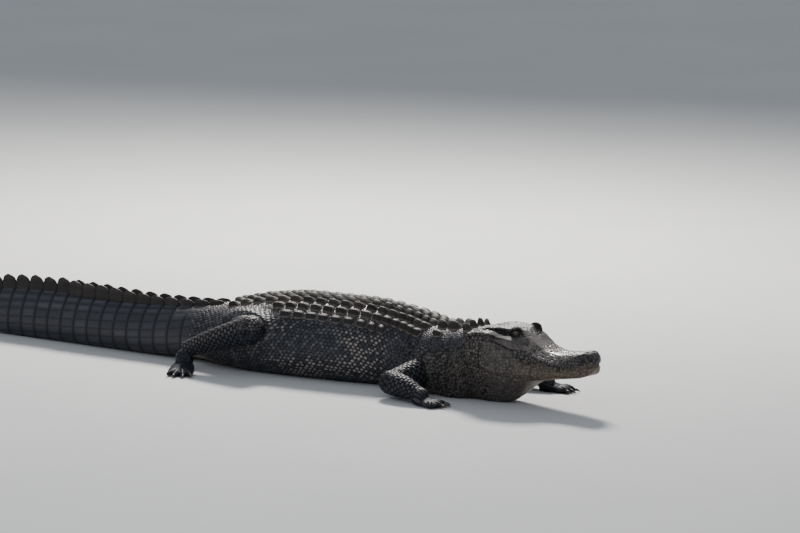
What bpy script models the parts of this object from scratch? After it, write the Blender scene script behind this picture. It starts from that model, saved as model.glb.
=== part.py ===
"""American alligator, 2.4 m long, resting on its belly, the head raised and turned to its right.

Metres. X runs along the trunk toward the head, Y to the animal's left, Z up, and the floor is Z = 0.
Distances along the animal are measured from the tip of the snout.
"""

import math

import bmesh
import bpy
import numpy as np

GAP = 0.0003
TOTAL = 2.4
HEAD_LENGTH = 0.35
NECK_START = 0.355
TORSO_START = 0.60
TAIL_START = 1.24
TAIL_MIDDLE = 1.62
TAIL_REAR = 2.00
ORIGIN_AT = 0.90

HEAD_TURN = math.radians(9)
NECK_TURN = math.radians(29)
TAIL_TURN = math.radians(-4)
HEAD_PITCH = math.radians(4.5)
HEAD_LIFT = 0.058
PIVOT_Z = 0.09

BODY_SIDES = 20
FLOOR = 0.0


def clear_scene():
    for obj in list(bpy.data.objects):
        bpy.data.objects.remove(obj, do_unlink=True)
    for mesh in list(bpy.data.meshes):
        bpy.data.meshes.remove(mesh)


def smooth(t):
    t = np.clip(t, 0.0, 1.0)
    return t * t * (3 - 2 * t)


def curve(xs, ys, x):
    """A smooth curve through the points, with no overshoot."""
    xs, ys = np.asarray(xs, float), np.asarray(ys, float)
    step, rise = np.diff(xs), np.diff(ys)
    slope = rise / step
    tangent = np.zeros(len(xs))
    tangent[0], tangent[-1] = slope[0], slope[-1]
    same = slope[:-1] * slope[1:] > 0
    weight = 2 * slope[:-1] * slope[1:] / np.where(same, slope[:-1] + slope[1:], 1)
    tangent[1:-1] = np.where(same, weight, 0)
    x = np.clip(x, xs[0], xs[-1])
    i = np.clip(np.searchsorted(xs, x, side="right") - 1, 0, len(xs) - 2)
    t = (x - xs[i]) / step[i]
    near = (1 + 2 * t) * ys[i] + t * step[i] * tangent[i]
    far = (3 - 2 * t) * ys[i + 1] + (t - 1) * step[i] * tangent[i + 1]
    return (1 - t) ** 2 * near + t * t * far


# The spine on the floor plan, from the snout to the tail.

def heading(s):
    """The way the animal faces at s, as an angle from +X, negative to its right."""
    front = -NECK_TURN * smooth((0.72 - s) / 0.25)
    front = front + (NECK_TURN - HEAD_TURN) * smooth((0.46 - s) / 0.10)
    return front + TAIL_TURN * smooth((s - 1.12) / 0.35)


SPINE_S = np.linspace(0, TOTAL, 481)


def spine_path():
    step = SPINE_S[1] - SPINE_S[0]
    angle = heading(SPINE_S)
    middle = (angle[1:] + angle[:-1]) / 2
    x = np.concatenate([[0], np.cumsum(-step * np.cos(middle))])
    y = np.concatenate([[0], np.cumsum(-step * np.sin(middle))])
    start = int(round(ORIGIN_AT / step))
    return x - x[start], y - y[start]


SPINE_X, SPINE_Y = spine_path()


def on_spine(s, left, z):
    """The place at s, this far to the animal's left and this high."""
    angle = heading(np.asarray(s, float))
    x = np.interp(s, SPINE_S, SPINE_X) - left * np.sin(angle)
    y = np.interp(s, SPINE_S, SPINE_Y) + left * np.cos(angle)
    return np.stack(np.broadcast_arrays(x, y, z), -1)


# Body sections: distance from the snout, half width, top and belly.

BODY_S = [
    0.355, 0.42, 0.50, 0.60, 0.75, 0.90, 1.02, 1.12, 1.20, 1.28, 1.40, 1.55, 1.75, 1.95, 2.12, 2.28,
    2.40,
]
BODY_WIDTH = [
    0.090, 0.094, 0.106, 0.126, 0.146, 0.155, 0.150, 0.124, 0.098, 0.084, 0.070, 0.057, 0.043,
    0.030, 0.020, 0.011, 0.004,
]
BODY_TOP = [
    0.185, 0.172, 0.164, 0.176, 0.193, 0.193, 0.181, 0.160, 0.147, 0.140, 0.135, 0.132, 0.128,
    0.112, 0.083, 0.048, 0.014,
]
BODY_LOW = [
    -0.010, -0.012, -0.008, -0.008, -0.012, -0.012, -0.012, -0.006, 0.002, 0.0, -0.004, -0.004,
    -0.004, -0.004, -0.003, -0.002, -0.002,
]
UPPER_POWER = [2.3, 2.3, 2.3, 2.3, 2.2, 2.2, 2.2, 2.1, 2.0, 1.9, 1.75, 1.65, 1.6, 1.6, 1.7, 1.8, 2.0]
WIDEST = [
    0.56, 0.44, 0.42, 0.40, 0.38, 0.38, 0.38, 0.40, 0.42, 0.42, 0.42, 0.40, 0.38, 0.38, 0.4, 0.42,
    0.45,
]


def body_point(s, turn, grow=0.0):
    """A point of the body's skin, turn being 0 at the animal's left and a quarter turn at the top."""
    width = curve(BODY_S, BODY_WIDTH, s) + grow
    top = curve(BODY_S, BODY_TOP, s) + grow
    low = curve(BODY_S, BODY_LOW, s) - grow
    power = curve(BODY_S, UPPER_POWER, s)
    middle = low + (top - low) * curve(BODY_S, WIDEST, s)
    across, rise = math.cos(turn), math.sin(turn)
    bend = power if rise >= 0 else 2.5
    left = width * math.copysign(abs(across) ** (2 / bend), across)
    height = (top - middle) if rise >= 0 else (middle - low)
    z = middle + height * math.copysign(abs(rise) ** (2 / bend), rise)
    return left, z


def head_place(x, left, z):
    """From the head's own frame, x forward of the rear of the skull table, to the animal's."""
    cos, sin = math.cos(HEAD_PITCH), math.sin(HEAD_PITCH)
    angle = float(heading(np.float64(0.2)))
    base = on_spine(HEAD_LENGTH, 0.0, 0.0)
    lowest = PIVOT_Z - (HEAD_LIFT + PIVOT_Z + x * sin) / cos
    z = max(z, lowest)
    along = x * cos - (z - PIVOT_Z) * sin
    up = HEAD_LIFT + PIVOT_Z + x * sin + (z - PIVOT_Z) * cos
    return (
        base[0] + along * math.cos(angle) - left * math.sin(angle),
        base[1] + along * math.sin(angle) + left * math.cos(angle),
        up,
    )


def body_ring(s, grow=0.0, sides=BODY_SIDES):
    """One ring of the body. Near the head it leans with the head's pitch."""
    lean = HEAD_PITCH * float(1 - smooth((s - NECK_START) / 0.12))
    ring = []
    for i in range(sides):
        left, z = body_point(s, 2 * math.pi * i / sides, grow)
        z = max(z, FLOOR)
        back = (z - PIVOT_Z - HEAD_LIFT) * math.tan(lean)
        spot = on_spine(s, left, z)
        angle = float(heading(np.float64(s)))
        ring.append((spot[0] - back * math.cos(angle), spot[1] - back * math.sin(angle), spot[2]))
    return ring


# Meshes.

def new_object(name, points, faces, material=None):
    mesh = bpy.data.meshes.new(name)
    mesh.from_pydata([tuple(map(float, p)) for p in points], [], faces)
    bm = bmesh.new()
    bm.from_mesh(mesh)
    bmesh.ops.triangulate(bm, faces=bm.faces[:])
    bmesh.ops.recalc_face_normals(bm, faces=bm.faces[:])
    if bm.calc_volume(signed=True) < 0:
        bmesh.ops.reverse_faces(bm, faces=bm.faces[:])
    bm.to_mesh(mesh)
    bm.free()
    obj = bpy.data.objects.new(name, mesh)
    bpy.context.scene.collection.objects.link(obj)
    if material:
        mesh.materials.append(material)
    return obj


def loft(name, rings, material=None):
    """A closed solid through rings of equally many points, with a flat cap at each end."""
    count = len(rings[0])
    points = [p for ring in rings for p in ring]
    faces = []
    for r in range(len(rings) - 1):
        for i in range(count):
            j = (i + 1) % count
            a, b = r * count, (r + 1) * count
            faces.append((a + i, a + j, b + j, b + i))
    caps = []
    for start in (0, (len(rings) - 1) * count):
        middle = np.mean(np.array(rings[start // count], float), axis=0)
        points.append(tuple(middle))
        hub = len(points) - 1
        caps += [(start + i, start + (i + 1) % count, hub) for i in range(count)]
    return new_object(name, points, faces + caps, material)


def ellipsoid(name, centre, radii, across=12, rows=8, turn=None):
    """A closed ellipsoid, turned by a 3 by 3 matrix if one is given."""
    turn = np.eye(3) if turn is None else turn
    points = [(0, 0, 1)]
    for r in range(1, rows):
        tilt = math.pi * r / rows
        for i in range(across):
            around = 2 * math.pi * i / across
            flat = math.sin(tilt)
            points.append((flat * math.cos(around), flat * math.sin(around), math.cos(tilt)))
    points.append((0, 0, -1))
    last = len(points) - 1
    faces = [(0, 1 + i, 1 + (i + 1) % across) for i in range(across)]
    for r in range(rows - 2):
        a, b = 1 + r * across, 1 + (r + 1) * across
        faces += [(a + i, b + i, b + (i + 1) % across, a + (i + 1) % across) for i in range(across)]
    a = 1 + (rows - 2) * across
    faces += [(a + i, last, a + (i + 1) % across) for i in range(across)]
    placed = (np.array(points) * radii) @ np.asarray(turn).T + centre
    return new_object(name, placed, faces)


def join_or_cut(obj, others, operation, solver="EXACT"):
    """One Boolean with a collection of closed solids, which are then removed."""
    group = bpy.data.collections.new("operands")
    bpy.context.scene.collection.children.link(group)
    for other in others:
        bpy.context.scene.collection.objects.unlink(other)
        group.objects.link(other)
        other.hide_render = True
        other.display_type = "WIRE"
    boolean = obj.modifiers.new("solid", "BOOLEAN")
    boolean.operation = operation
    boolean.operand_type = "COLLECTION"
    boolean.collection = group
    boolean.solver = solver
    graph = bpy.context.evaluated_depsgraph_get()
    result = bpy.data.meshes.new_from_object(obj.evaluated_get(graph))
    obj.modifiers.clear()
    old = obj.data
    obj.data = result
    bpy.data.meshes.remove(old)
    for other in others:
        mesh = other.data
        bpy.data.objects.remove(other, do_unlink=True)
        bpy.data.meshes.remove(mesh)
    bpy.data.collections.remove(group)
    keep_largest(obj)


def keep_largest(obj):
    """Leaves only the closed surface with the largest volume, triangulated."""
    bm = bmesh.new()
    bm.from_mesh(obj.data)
    bmesh.ops.triangulate(bm, faces=bm.faces[:])
    seen, best, best_volume = set(), None, 0.0
    for face in bm.faces:
        if face in seen:
            continue
        island, stack = [], [face]
        seen.add(face)
        while stack:
            here = stack.pop()
            island.append(here)
            for edge in here.edges:
                for other in edge.link_faces:
                    if other not in seen:
                        seen.add(other)
                        stack.append(other)
        volume = 0.0
        for f in island:
            a, b, c = (v.co for v in f.verts)
            volume += a.dot(b.cross(c)) / 6
        if volume > best_volume:
            best, best_volume = set(island), volume
    bmesh.ops.delete(bm, geom=[f for f in bm.faces if f not in best], context="FACES")
    loose = [v for v in bm.verts if not v.link_faces]
    bmesh.ops.delete(bm, geom=loose, context="VERTS")
    bm.to_mesh(obj.data)
    bm.free()


def material(name, colour, roughness):
    made = bpy.data.materials.new(name)
    made.use_nodes = True
    shader = made.node_tree.nodes["Principled BSDF"]
    shader.inputs["Base Color"].default_value = (*colour, 1)
    shader.inputs["Roughness"].default_value = roughness
    return made


# The head, in its own frame: distance forward of the rear of the skull table.

HEAD_X = [
    -0.005, 0.02, 0.05, 0.08, 0.105, 0.125, 0.14, 0.16, 0.185, 0.205, 0.23, 0.255, 0.28, 0.297,
    0.31, 0.322, 0.330, 0.3345,
]
MOUTH_Z = [
    0.098, 0.100, 0.101, 0.099, 0.090, 0.077, 0.060, 0.049, 0.046, 0.048, 0.040, 0.034, 0.039,
    0.042, 0.044, 0.045, 0.046, 0.047,
]
LIP_Y = [
    0.0895, 0.0930, 0.092, 0.089, 0.084, 0.079, 0.075, 0.069, 0.064, 0.061, 0.059, 0.055, 0.049,
    0.0475, 0.043, 0.034, 0.022, 0.008,
]
CHEEK_Y = [
    0.088, 0.0925, 0.092, 0.090, 0.086, 0.081, 0.076, 0.070, 0.065, 0.061, 0.0585, 0.0545, 0.0485,
    0.047, 0.043, 0.034, 0.021, 0.007,
]
CHEEK_Z = [
    0.109, 0.117, 0.119, 0.116, 0.108, 0.100, 0.091, 0.075, 0.062, 0.056, 0.047, 0.043, 0.048,
    0.053, 0.056, 0.056, 0.053, 0.050,
]
SHELF_Y = [
    0.066, 0.068, 0.066, 0.062, 0.058, 0.056, 0.056, 0.055, 0.054, 0.053, 0.052, 0.049, 0.044,
    0.0405, 0.036, 0.027, 0.015, 0.006,
]
SHELF_Z = [
    0.114, 0.121, 0.122, 0.119, 0.114, 0.110, 0.103, 0.090, 0.071, 0.062, 0.0545, 0.0520, 0.059,
    0.066, 0.068, 0.065, 0.060, 0.052,
]
RIM_Y = [
    0.050, 0.054, 0.052, 0.048, 0.045, 0.044, 0.042, 0.036, 0.033, 0.032, 0.032, 0.031, 0.029,
    0.028, 0.026, 0.020, 0.011, 0.004,
]
RIM_Z = [
    0.122, 0.127, 0.130, 0.130, 0.129, 0.128, 0.118, 0.103, 0.085, 0.0760, 0.069, 0.068, 0.070,
    0.072, 0.073, 0.070, 0.062, 0.053,
]
TOP_Z = [
    0.121, 0.126, 0.128, 0.127, 0.123, 0.119, 0.112, 0.100, 0.086, 0.0775, 0.070, 0.069, 0.070,
    0.072, 0.073, 0.070, 0.062, 0.053,
]
JAW_LOW = [
    0.004, 0.002, 0.0, 0.0, 0.0, 0.0, 0.0, 0.001, 0.002, 0.003, 0.005, 0.007, 0.009, 0.0105, 0.013,
    0.018, 0.026, 0.034,
]
THROAT = [
    0.072, 0.070, 0.068, 0.062, 0.050, 0.036, 0.024, 0.013, 0.005, 0.003, 0.002, 0.001, 0.001,
    0.001, 0.001, 0.001, 0.001, 0.001,
]
SNOUT_END = HEAD_X[-1]
JAW_STATIONS = np.linspace(HEAD_X[0] + GAP, SNOUT_END - 0.0055, 25)
SKULL_STATIONS = np.append(JAW_STATIONS, [SNOUT_END - 0.002, SNOUT_END])
# The swelling of the jaw's muscle: its place, reach along the head, and height.
JOWL_X, JOWL_REACH, JOWL_OUT = 0.075, 0.040, 0.006


def spline(points, parts):
    """Catmull-Rom points through these, parts to a span, both ends included."""
    points = np.asarray(points, float)
    padded = np.vstack([2 * points[0] - points[1], points, 2 * points[-1] - points[-2]])
    made = []
    for i in range(len(points) - 1):
        a, b, c, d = padded[i : i + 4]
        for k in range(parts):
            t = k / parts
            second, third = 2 * a - 5 * b + 4 * c - d, 3 * b - a - 3 * c + d
            made.append(0.5 * (2 * b + (c - a) * t + second * t**2 + third * t**3))
    made.append(points[-1])
    return made


def both_sides(half):
    """A closed ring from the left half, which runs from the bottom middle to the top middle."""
    right = [(-y, z) for y, z in half[-2:0:-1]]
    return list(half) + right


def jowl(x):
    """1 where the skin closes over the jaw behind the mouth, 0 along the mouth."""
    return float(smooth((0.11 - x) / 0.05))


def skull_half(x):
    lip, mouth = curve(HEAD_X, LIP_Y, x), curve(HEAD_X, MOUTH_Z, x)
    outer = [
        (lip, mouth - 0.0015 * (1 - jowl(x))),
        (curve(HEAD_X, CHEEK_Y, x), curve(HEAD_X, CHEEK_Z, x)),
        (curve(HEAD_X, SHELF_Y, x), curve(HEAD_X, SHELF_Z, x)),
        (curve(HEAD_X, RIM_Y, x), curve(HEAD_X, RIM_Z, x)),
        (0.0, curve(HEAD_X, TOP_Z, x)),
    ]
    inner = max(lip - 0.006, 0.6 * lip)
    return [(0.0, mouth), (0.5 * inner, mouth), (inner, mouth)] + [tuple(p) for p in spline(outer, 3)]


def jaw_half(x):
    lip, mouth = curve(HEAD_X, LIP_Y, x), curve(HEAD_X, MOUTH_Z, x)
    low, throat = curve(HEAD_X, JAW_LOW, x), curve(HEAD_X, THROAT, x)
    back = jowl(x)
    step = 0.0078 * (1 - back) + 0.001 * back
    edge = max(lip - step, 0.5 * lip)
    top = mouth - 0.0006
    swell = JOWL_OUT * math.exp(-(((x - JOWL_X) / JOWL_REACH) ** 2))
    side = max(lip - 0.002 - 0.002 * (1 - back), 0.55 * lip)
    depth = top - low
    outer = [
        (0.0, low - throat),
        (0.45 * side, low - 0.75 * throat),
        (0.84 * side, low),
        (side + swell, low + 0.42 * depth),
        (edge + 0.0015 * back, top - min(0.008, 0.35 * depth)),
        (edge, top),
    ]
    return [tuple(p) for p in spline(outer, 2)] + [(0.5 * edge, top), (0.0, top)]


def head_loft(name, half, stations, made_of):
    rings = []
    for x in stations:
        rings.append([head_place(x, y, z) for y, z in both_sides(half(float(x)))])
    return loft(name, rings, made_of)


EYE_X, EYE_Y, EYE_Z, EYE_RADIUS = 0.126, 0.0425, 0.116, 0.0125
LID_RADII = (0.0180, 0.0150, 0.0175)
EYE_OPENING = {"from_eye": (0.002, 0.012, 0.001), "radii": (0.0105, 0.012, 0.0052)}
NOSTRIL = {"at": (0.314, 0.0125, 0.0745), "radii": (0.0055, 0.0035, 0.0065)}
EAR = {"at": (0.076, 0.060, 0.1245), "radii": (0.024, 0.008, 0.0017)}


def head_turn_matrix():
    """The head's own axes in the animal's frame, as columns."""
    origin = np.array(head_place(0, 0, PIVOT_Z))
    ways = ((1, 0, PIVOT_Z), (0, 1, PIVOT_Z), (0, 0, PIVOT_Z + 1))
    return np.stack([np.array(head_place(*way)) - origin for way in ways], 1)


def make_head(skin):
    head = head_loft("head", skull_half, SKULL_STATIONS, skin)
    frame = head_turn_matrix()
    lids, sockets = [], []
    ear_x, ear_y, ear_z = EAR["at"]
    nose_x, nose_y, nose_z = NOSTRIL["at"]
    out_x, out_y, out_z = EYE_OPENING["from_eye"]
    for side in (1, -1):
        centre = np.array(head_place(EYE_X, side * EYE_Y, EYE_Z))
        lids.append(ellipsoid("lids", centre, LID_RADII, 12, 8, frame))
        sockets.append(ellipsoid("socket", centre, (EYE_RADIUS + 2 * GAP,) * 3, 12, 8, frame))
        opening = head_place(EYE_X + out_x, side * (EYE_Y + out_y), EYE_Z + out_z)
        sockets.append(ellipsoid("opening", np.array(opening), EYE_OPENING["radii"], 10, 6, frame))
        nostril = np.array(head_place(nose_x, side * nose_y, nose_z))
        sockets.append(ellipsoid("nostril", nostril, NOSTRIL["radii"], 8, 6, frame))
        ear = np.array(head_place(ear_x, side * ear_y, ear_z))
        sockets.append(ellipsoid("ear", ear, EAR["radii"], 8, 4, frame))
    join_or_cut(head, lids, "UNION")
    join_or_cut(head, sockets, "DIFFERENCE")
    return head


def make_eyes(eye):
    for side, name in ((1, "eye_left"), (-1, "eye_right")):
        centre = np.array(head_place(EYE_X, side * EYE_Y, EYE_Z))
        ball = ellipsoid(name, centre, (EYE_RADIUS,) * 3, 10, 6, head_turn_matrix())
        ball.data.materials.append(eye)


LENGTHS = {
    "neck": (NECK_START + 0.0006, TORSO_START, 0.030),
    "torso": (TORSO_START + GAP, TAIL_START, 0.040),
    "tail_base": (TAIL_START + GAP, TAIL_MIDDLE, 0.042),
    "tail_middle": (TAIL_MIDDLE + GAP, TAIL_REAR, 0.042),
    "tail_rear": (TAIL_REAR + GAP, TOTAL, 0.040),
}


def stations(name):
    start, end, spacing = LENGTHS[name]
    return np.linspace(start, end, max(3, int(round((end - start) / spacing)) + 1))


def body_loft(name, made_of):
    return loft(name, [body_ring(float(s)) for s in stations(name)], made_of)


def trunk_cutter():
    """The neck, torso and root of the tail in one, a gap wider, to trim the legs against."""
    places = np.concatenate([stations("neck"), stations("torso")[1:], stations("tail_base")[1:]])
    return loft("trunk_cutter", [body_ring(float(s), 1.3 * GAP) for s in places])


# Legs: a path of points with a radius across and a radius up at each.

def tube(name, path, radii, sides, made_of=None):
    """A closed tube along the path, its rings square to it, kept above the floor."""
    path = np.asarray(path, float)
    rings = []
    for i, spot in enumerate(path):
        way = path[min(i + 1, len(path) - 1)] - path[max(i - 1, 0)]
        way = way / np.linalg.norm(way)
        across = np.cross((0, 0, 1), way)
        across = across / max(np.linalg.norm(across), 1e-9)
        up = np.cross(way, across)
        wide, tall = radii[i]
        ring = []
        for k in range(sides):
            turn = 2 * math.pi * k / sides
            p = spot + across * wide * math.cos(turn) + up * tall * math.sin(turn)
            ring.append((p[0], p[1], max(p[2], FLOOR)))
        rings.append(ring)
    return loft(name, rings, made_of)


def along(points, parts):
    return [tuple(p) for p in spline(points, parts)]


LEG_SIDES = 10
KNOB_SHARE = 1.04

FRONT = {
    "upper": [(0.040, 0.042), (0.036, 0.036), (0.030, 0.030)],
    "lower": [(0.031, 0.031), (0.029, 0.028), (0.020, 0.018)],
    "ankle": {"height": 0.0245, "radii": (0.0225, 0.0225, 0.0190)},
    "palm": (0.060, 0.030, 0.013),
    "toe": 0.040,
}
HIND = {
    "upper": [(0.048, 0.050), (0.042, 0.044), (0.034, 0.036)],
    "lower": [(0.035, 0.037), (0.028, 0.030), (0.021, 0.021)],
    "ankle": {"height": 0.0320, "radii": (0.0245, 0.0245, 0.0260)},
    "palm": (0.085, 0.034, 0.015),
    "toe": 0.055,
}
LEGS = {
    "front_right": FRONT | {
        "joints": [(0.395, -0.100, 0.066), (0.340, -0.238, 0.040), (0.437, -0.272, 0.024)],
        "forward": (1.0, -0.25),
        "fan": (-48, -24, 0, 22, 46),
    },
    "front_left": FRONT | {
        "joints": [(0.425, 0.000, 0.076), (0.530, 0.095, 0.046), (0.625, 0.072, 0.024)],
        "forward": (0.95, 0.25),
        "fan": (46, 22, 0, -24, -48),
    },
    "hind_right": HIND | {
        "joints": [(-0.205, -0.055, 0.082), (-0.096, -0.168, 0.121), (-0.276, -0.190, 0.054)],
        "forward": (0.35, -0.94),
        "fan": (-30, -10, 10, 30),
    },
    "hind_left": HIND | {
        "joints": [(-0.215, 0.055, 0.078), (-0.085, 0.175, 0.096), (-0.210, 0.205, 0.042)],
        "forward": (0.45, 0.89),
        "fan": (30, 10, -10, -30),
    },
}
CLAWS = 3


def make_leg(name, leg, skin, claw):
    top, joint, wrist = (np.array(p, float) for p in leg["joints"])
    upper_way = (joint - top) / np.linalg.norm(joint - top)
    lower_way = (wrist - joint) / np.linalg.norm(wrist - joint)
    first = [top - upper_way * 0.02, (top + joint) / 2, joint - upper_way * 0.012]
    upper = tube(name + "_upper", along(first, 3), spread(leg["upper"], 3), LEG_SIDES, skin)
    knob = ellipsoid("knob", joint, np.array(leg["upper"][2]).repeat([1, 2]) * KNOB_SHARE, 10, 6)
    lift_to_floor(knob)
    join_or_cut(upper, [knob], "UNION")
    second = [joint + lower_way * 0.004, (joint + wrist) / 2 + (0, 0, 0.003), wrist]
    lower = tube(name + "_lower", along(second, 3), spread(leg["lower"], 3), LEG_SIDES, skin)
    ankle = (wrist[0], wrist[1], leg["ankle"]["height"])
    join_or_cut(lower, [ellipsoid("ankle", ankle, leg["ankle"]["radii"], 8, 5)], "UNION")
    join_or_cut(lower, [copy_grown(upper, GAP)], "DIFFERENCE", "MANIFOLD")
    join_or_cut(upper, [trunk_cutter()], "DIFFERENCE")
    make_foot(name, leg, wrist, lower, skin, claw)


def spread(radii, parts):
    return [tuple(p) for p in spline(np.array(radii, float), parts)]


def lift_to_floor(obj):
    for vertex in obj.data.vertices:
        vertex.co.z = max(vertex.co.z, FLOOR)


def copy_grown(obj, by):
    """A copy with every point moved out by this much, for cutting a neighbour with a gap."""
    mesh = obj.data.copy()
    made = bpy.data.objects.new("grown", mesh)
    bpy.context.scene.collection.objects.link(made)
    normals = [tuple(v.normal) for v in mesh.vertices]
    for vertex, normal in zip(mesh.vertices, normals, strict=True):
        vertex.co = vertex.co + by * 1.5 * type(vertex.co)(normal)
    return made


# Shares of the palm's length, width and thickness at each ring, then lengths and radii of toes and claws.

HEEL = 0.018
TOES_AT, TOES_APART, TOE_ROOT = 0.82, 0.75, 0.012
PALM_RINGS = [(0.0, 0.45, 0.9), (0.15, 0.72, 1.25), (0.45, 0.9, 1.1), (0.8, 1.0, 0.75), (1.0, 0.8, 0.55)]
TOE_RINGS = [
    (0.0, 0.009, 0.0085, 0.0085), (0.4, 0.010, 0.0078, 0.0082), (0.8, 0.008, 0.0062, 0.0068),
    (1.0, 0.006, 0.0048, 0.0052),
]
CLAW_LENGTH = 0.017
CLAW_RINGS = [(0.0, 0.0, 0.0040, 0.0044), (0.5, 0.0003, 0.0030, 0.0034), (1.0, -0.0032, 0.0010, 0.0011)]


def ringed(name, start, way, length, rings, sides, made_of=None):
    """A tube from start along way: each ring has its share of the length, its rise and its radii."""
    path = [start + way * length * share + (0, 0, rise) for share, rise, _, _ in rings]
    return tube(name, path, [ring[2:] for ring in rings], sides, made_of)


def make_foot(name, leg, wrist, lower, skin, claw):
    length, wide, thick = leg["palm"]
    forward = np.array([*leg["forward"], 0.0])
    forward = forward / np.linalg.norm(forward)
    side = np.cross((0, 0, 1), forward)
    rear = np.array([wrist[0], wrist[1], 0.0]) - forward * HEEL
    reach = HEEL + length
    palm = [(share, 0.72 * thick * h, wide * w, 0.9 * thick * h) for share, w, h in PALM_RINGS]
    foot = ringed(name + "_foot", rear, forward, reach, palm, LEG_SIDES, skin)
    toes, roots = [], []
    middle = (len(leg["fan"]) - 1) / 2
    for i, degrees in enumerate(leg["fan"]):
        angle = math.radians(degrees)
        aside = side * math.sin(angle)
        way = forward * math.cos(angle) - aside
        base = rear + forward * reach * TOES_AT - aside * wide * TOES_APART - way * TOE_ROOT
        toe = leg["toe"] * (1.0 - 0.12 * abs(i - middle))
        toes.append(ringed("toe", base, way, toe, TOE_RINGS, 5))
        roots.append((base + way * (toe - 0.003) + (0, 0, TOE_RINGS[-1][1]), way))
    join_or_cut(foot, toes, "UNION")
    join_or_cut(foot, [copy_grown(lower, GAP)], "DIFFERENCE")
    for i, (start, way) in enumerate(roots[:CLAWS]):
        nail = ringed(f"{name}_claw_{i + 1}", start, way, CLAW_LENGTH, CLAW_RINGS, 5, claw)
        join_or_cut(nail, [copy_grown(foot, GAP)], "DIFFERENCE")


def centre_all():
    """Moves everything so that the middle of its floor plan is the origin."""
    bpy.context.view_layer.update()
    points = np.array([v.co for obj in bpy.context.scene.objects for v in obj.data.vertices])
    middle = (points.min(0) + points.max(0)) / 2
    for obj in bpy.context.scene.objects:
        for vertex in obj.data.vertices:
            vertex.co.x -= middle[0]
            vertex.co.y -= middle[1]


# Scutes: plates with a keel on the back, fins on the tail, each sunk into the skin.

RNG = np.random.default_rng(7)
ROW_START, ROW_STEP, ROWS = 0.52, 0.036, 18
COLUMN = 0.033
SUNK = 0.007
SIZES = {
    "low": (0.030, 0.029, 0.0070),
    "middle": (0.032, 0.030, 0.0095),
    "high": (0.033, 0.031, 0.0115),
    "nuchal": (0.042, 0.034, 0.0200),
    "small_nuchal": (0.026, 0.022, 0.0120),
    "occipital": (0.022, 0.022, 0.0180),
}
CREST_S = [1.16, 1.25, 1.40, 1.60, 1.80, 2.05, 2.36]
CREST_HEIGHT = [0.010, 0.015, 0.024, 0.034, 0.036, 0.025, 0.007]
CREST_STEP, CREST_TIP_STEP = 0.044, 0.028
CREST_FILL = 0.94
CREST_START, CREST_END, SINGLE_FROM = 1.178, 2.35, 1.63
PAIR_S = [1.16, 1.30, 1.50, 1.63]
PAIR_APART = [0.017, 0.024, 0.020, 0.009]
PAIR_LEAN = 0.16


def arc_turn(s, arc):
    """The turn on the body's ring at s that lies this far round from the top, to the left if positive."""
    turns = np.linspace(math.pi / 2, 0, 120)
    points = np.array([body_point(s, float(t)) for t in turns])
    lengths = np.concatenate([[0], np.cumsum(np.linalg.norm(np.diff(points, axis=0), axis=1))])
    turn = float(np.interp(abs(arc), lengths, turns))
    return turn if arc >= 0 else math.pi - turn


def on_skin(s, turn):
    left, z = body_point(s, turn)
    return on_spine(s, left, max(z, FLOOR))


def skin_frame(s, arc):
    """A point of the skin and the ways forward, left and out from it."""
    turn = arc_turn(s, arc)
    spot = on_skin(s, turn)
    forward = on_skin(s - 0.004, turn) - on_skin(s + 0.004, turn)
    round_way = on_skin(s, turn - 0.03) - on_skin(s, turn + 0.03)
    forward = forward / np.linalg.norm(forward)
    out = np.cross(forward, round_way)
    out = out / np.linalg.norm(out)
    return spot, forward, np.cross(out, forward), out


# Each point of a plate: share of its length, share of its width, and which of its levels.

PLATE = [
    (0.46, -0.42, 0), (0.46, 0.42, 0), (-0.46, 0.42, 0), (-0.46, -0.42, 0),
    (0.50, -0.46, 1), (0.50, 0.46, 1), (-0.50, 0.48, 1), (-0.50, -0.48, 1),
    (0.34, 0.0, 2), (-0.10, 0.0, 3), (-0.40, 0.0, 4),
]
PLATE_FACES = [
    (3, 2, 1, 0), (0, 1, 5, 4), (1, 2, 6, 5), (2, 3, 7, 6), (3, 0, 4, 7),
    (4, 5, 8), (5, 9, 8), (5, 6, 9), (6, 10, 9), (6, 7, 10), (7, 9, 10), (7, 4, 9), (4, 8, 9),
]


def plate(s, arc, size):
    """One keeled scute. Its keel rises from the front to near the rear edge."""
    length, width, height = (v * RNG.uniform(0.93, 1.06) for v in SIZES[size])
    spot, forward, left, out = skin_frame(s, arc)
    yaw = RNG.uniform(-0.05, 0.05)
    ahead = forward * math.cos(yaw) + left * math.sin(yaw)
    across = left * math.cos(yaw) - forward * math.sin(yaw)
    levels = (-SUNK, 0.0012, 0.35 * height, 0.85 * height, height)
    points = []
    for along_it, across_it, level in PLATE:
        flat = ahead * along_it * length + across * across_it * width
        points.append(spot + flat + out * levels[level])
    return new_object("plate", points, PLATE_FACES)


FIN = [
    (0.47, -0.5), (0.50, 0.30), (0.40, 0.80), (0.12, 1.0), (-0.26, 1.0), (-0.46, 0.74), (-0.47, -0.5),
]


def fin(s, arc, height, lean, length):
    """One upright crest scute with a rounded top, thick at the root."""
    spot, forward, left, out = skin_frame(s, arc)
    up = np.array([0, 0, 1.0]) + left * lean
    up = up / np.linalg.norm(up)
    left = np.cross(up, forward)
    count = len(FIN)
    points = []
    for side in (1, -1):
        for along_it, level in FIN:
            rise = height * level if level > 0 else -SUNK
            thick = 0.0065 - 0.0048 * max(level, 0)
            points.append(spot + forward * along_it * length + up * rise + left * side * thick)
    faces = [tuple(range(count)), tuple(range(2 * count - 1, count - 1, -1))]
    for i in range(count):
        j = (i + 1) % count
        faces.append((j, i, count + i, count + j))
    return new_object("fin", points, faces)


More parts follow.
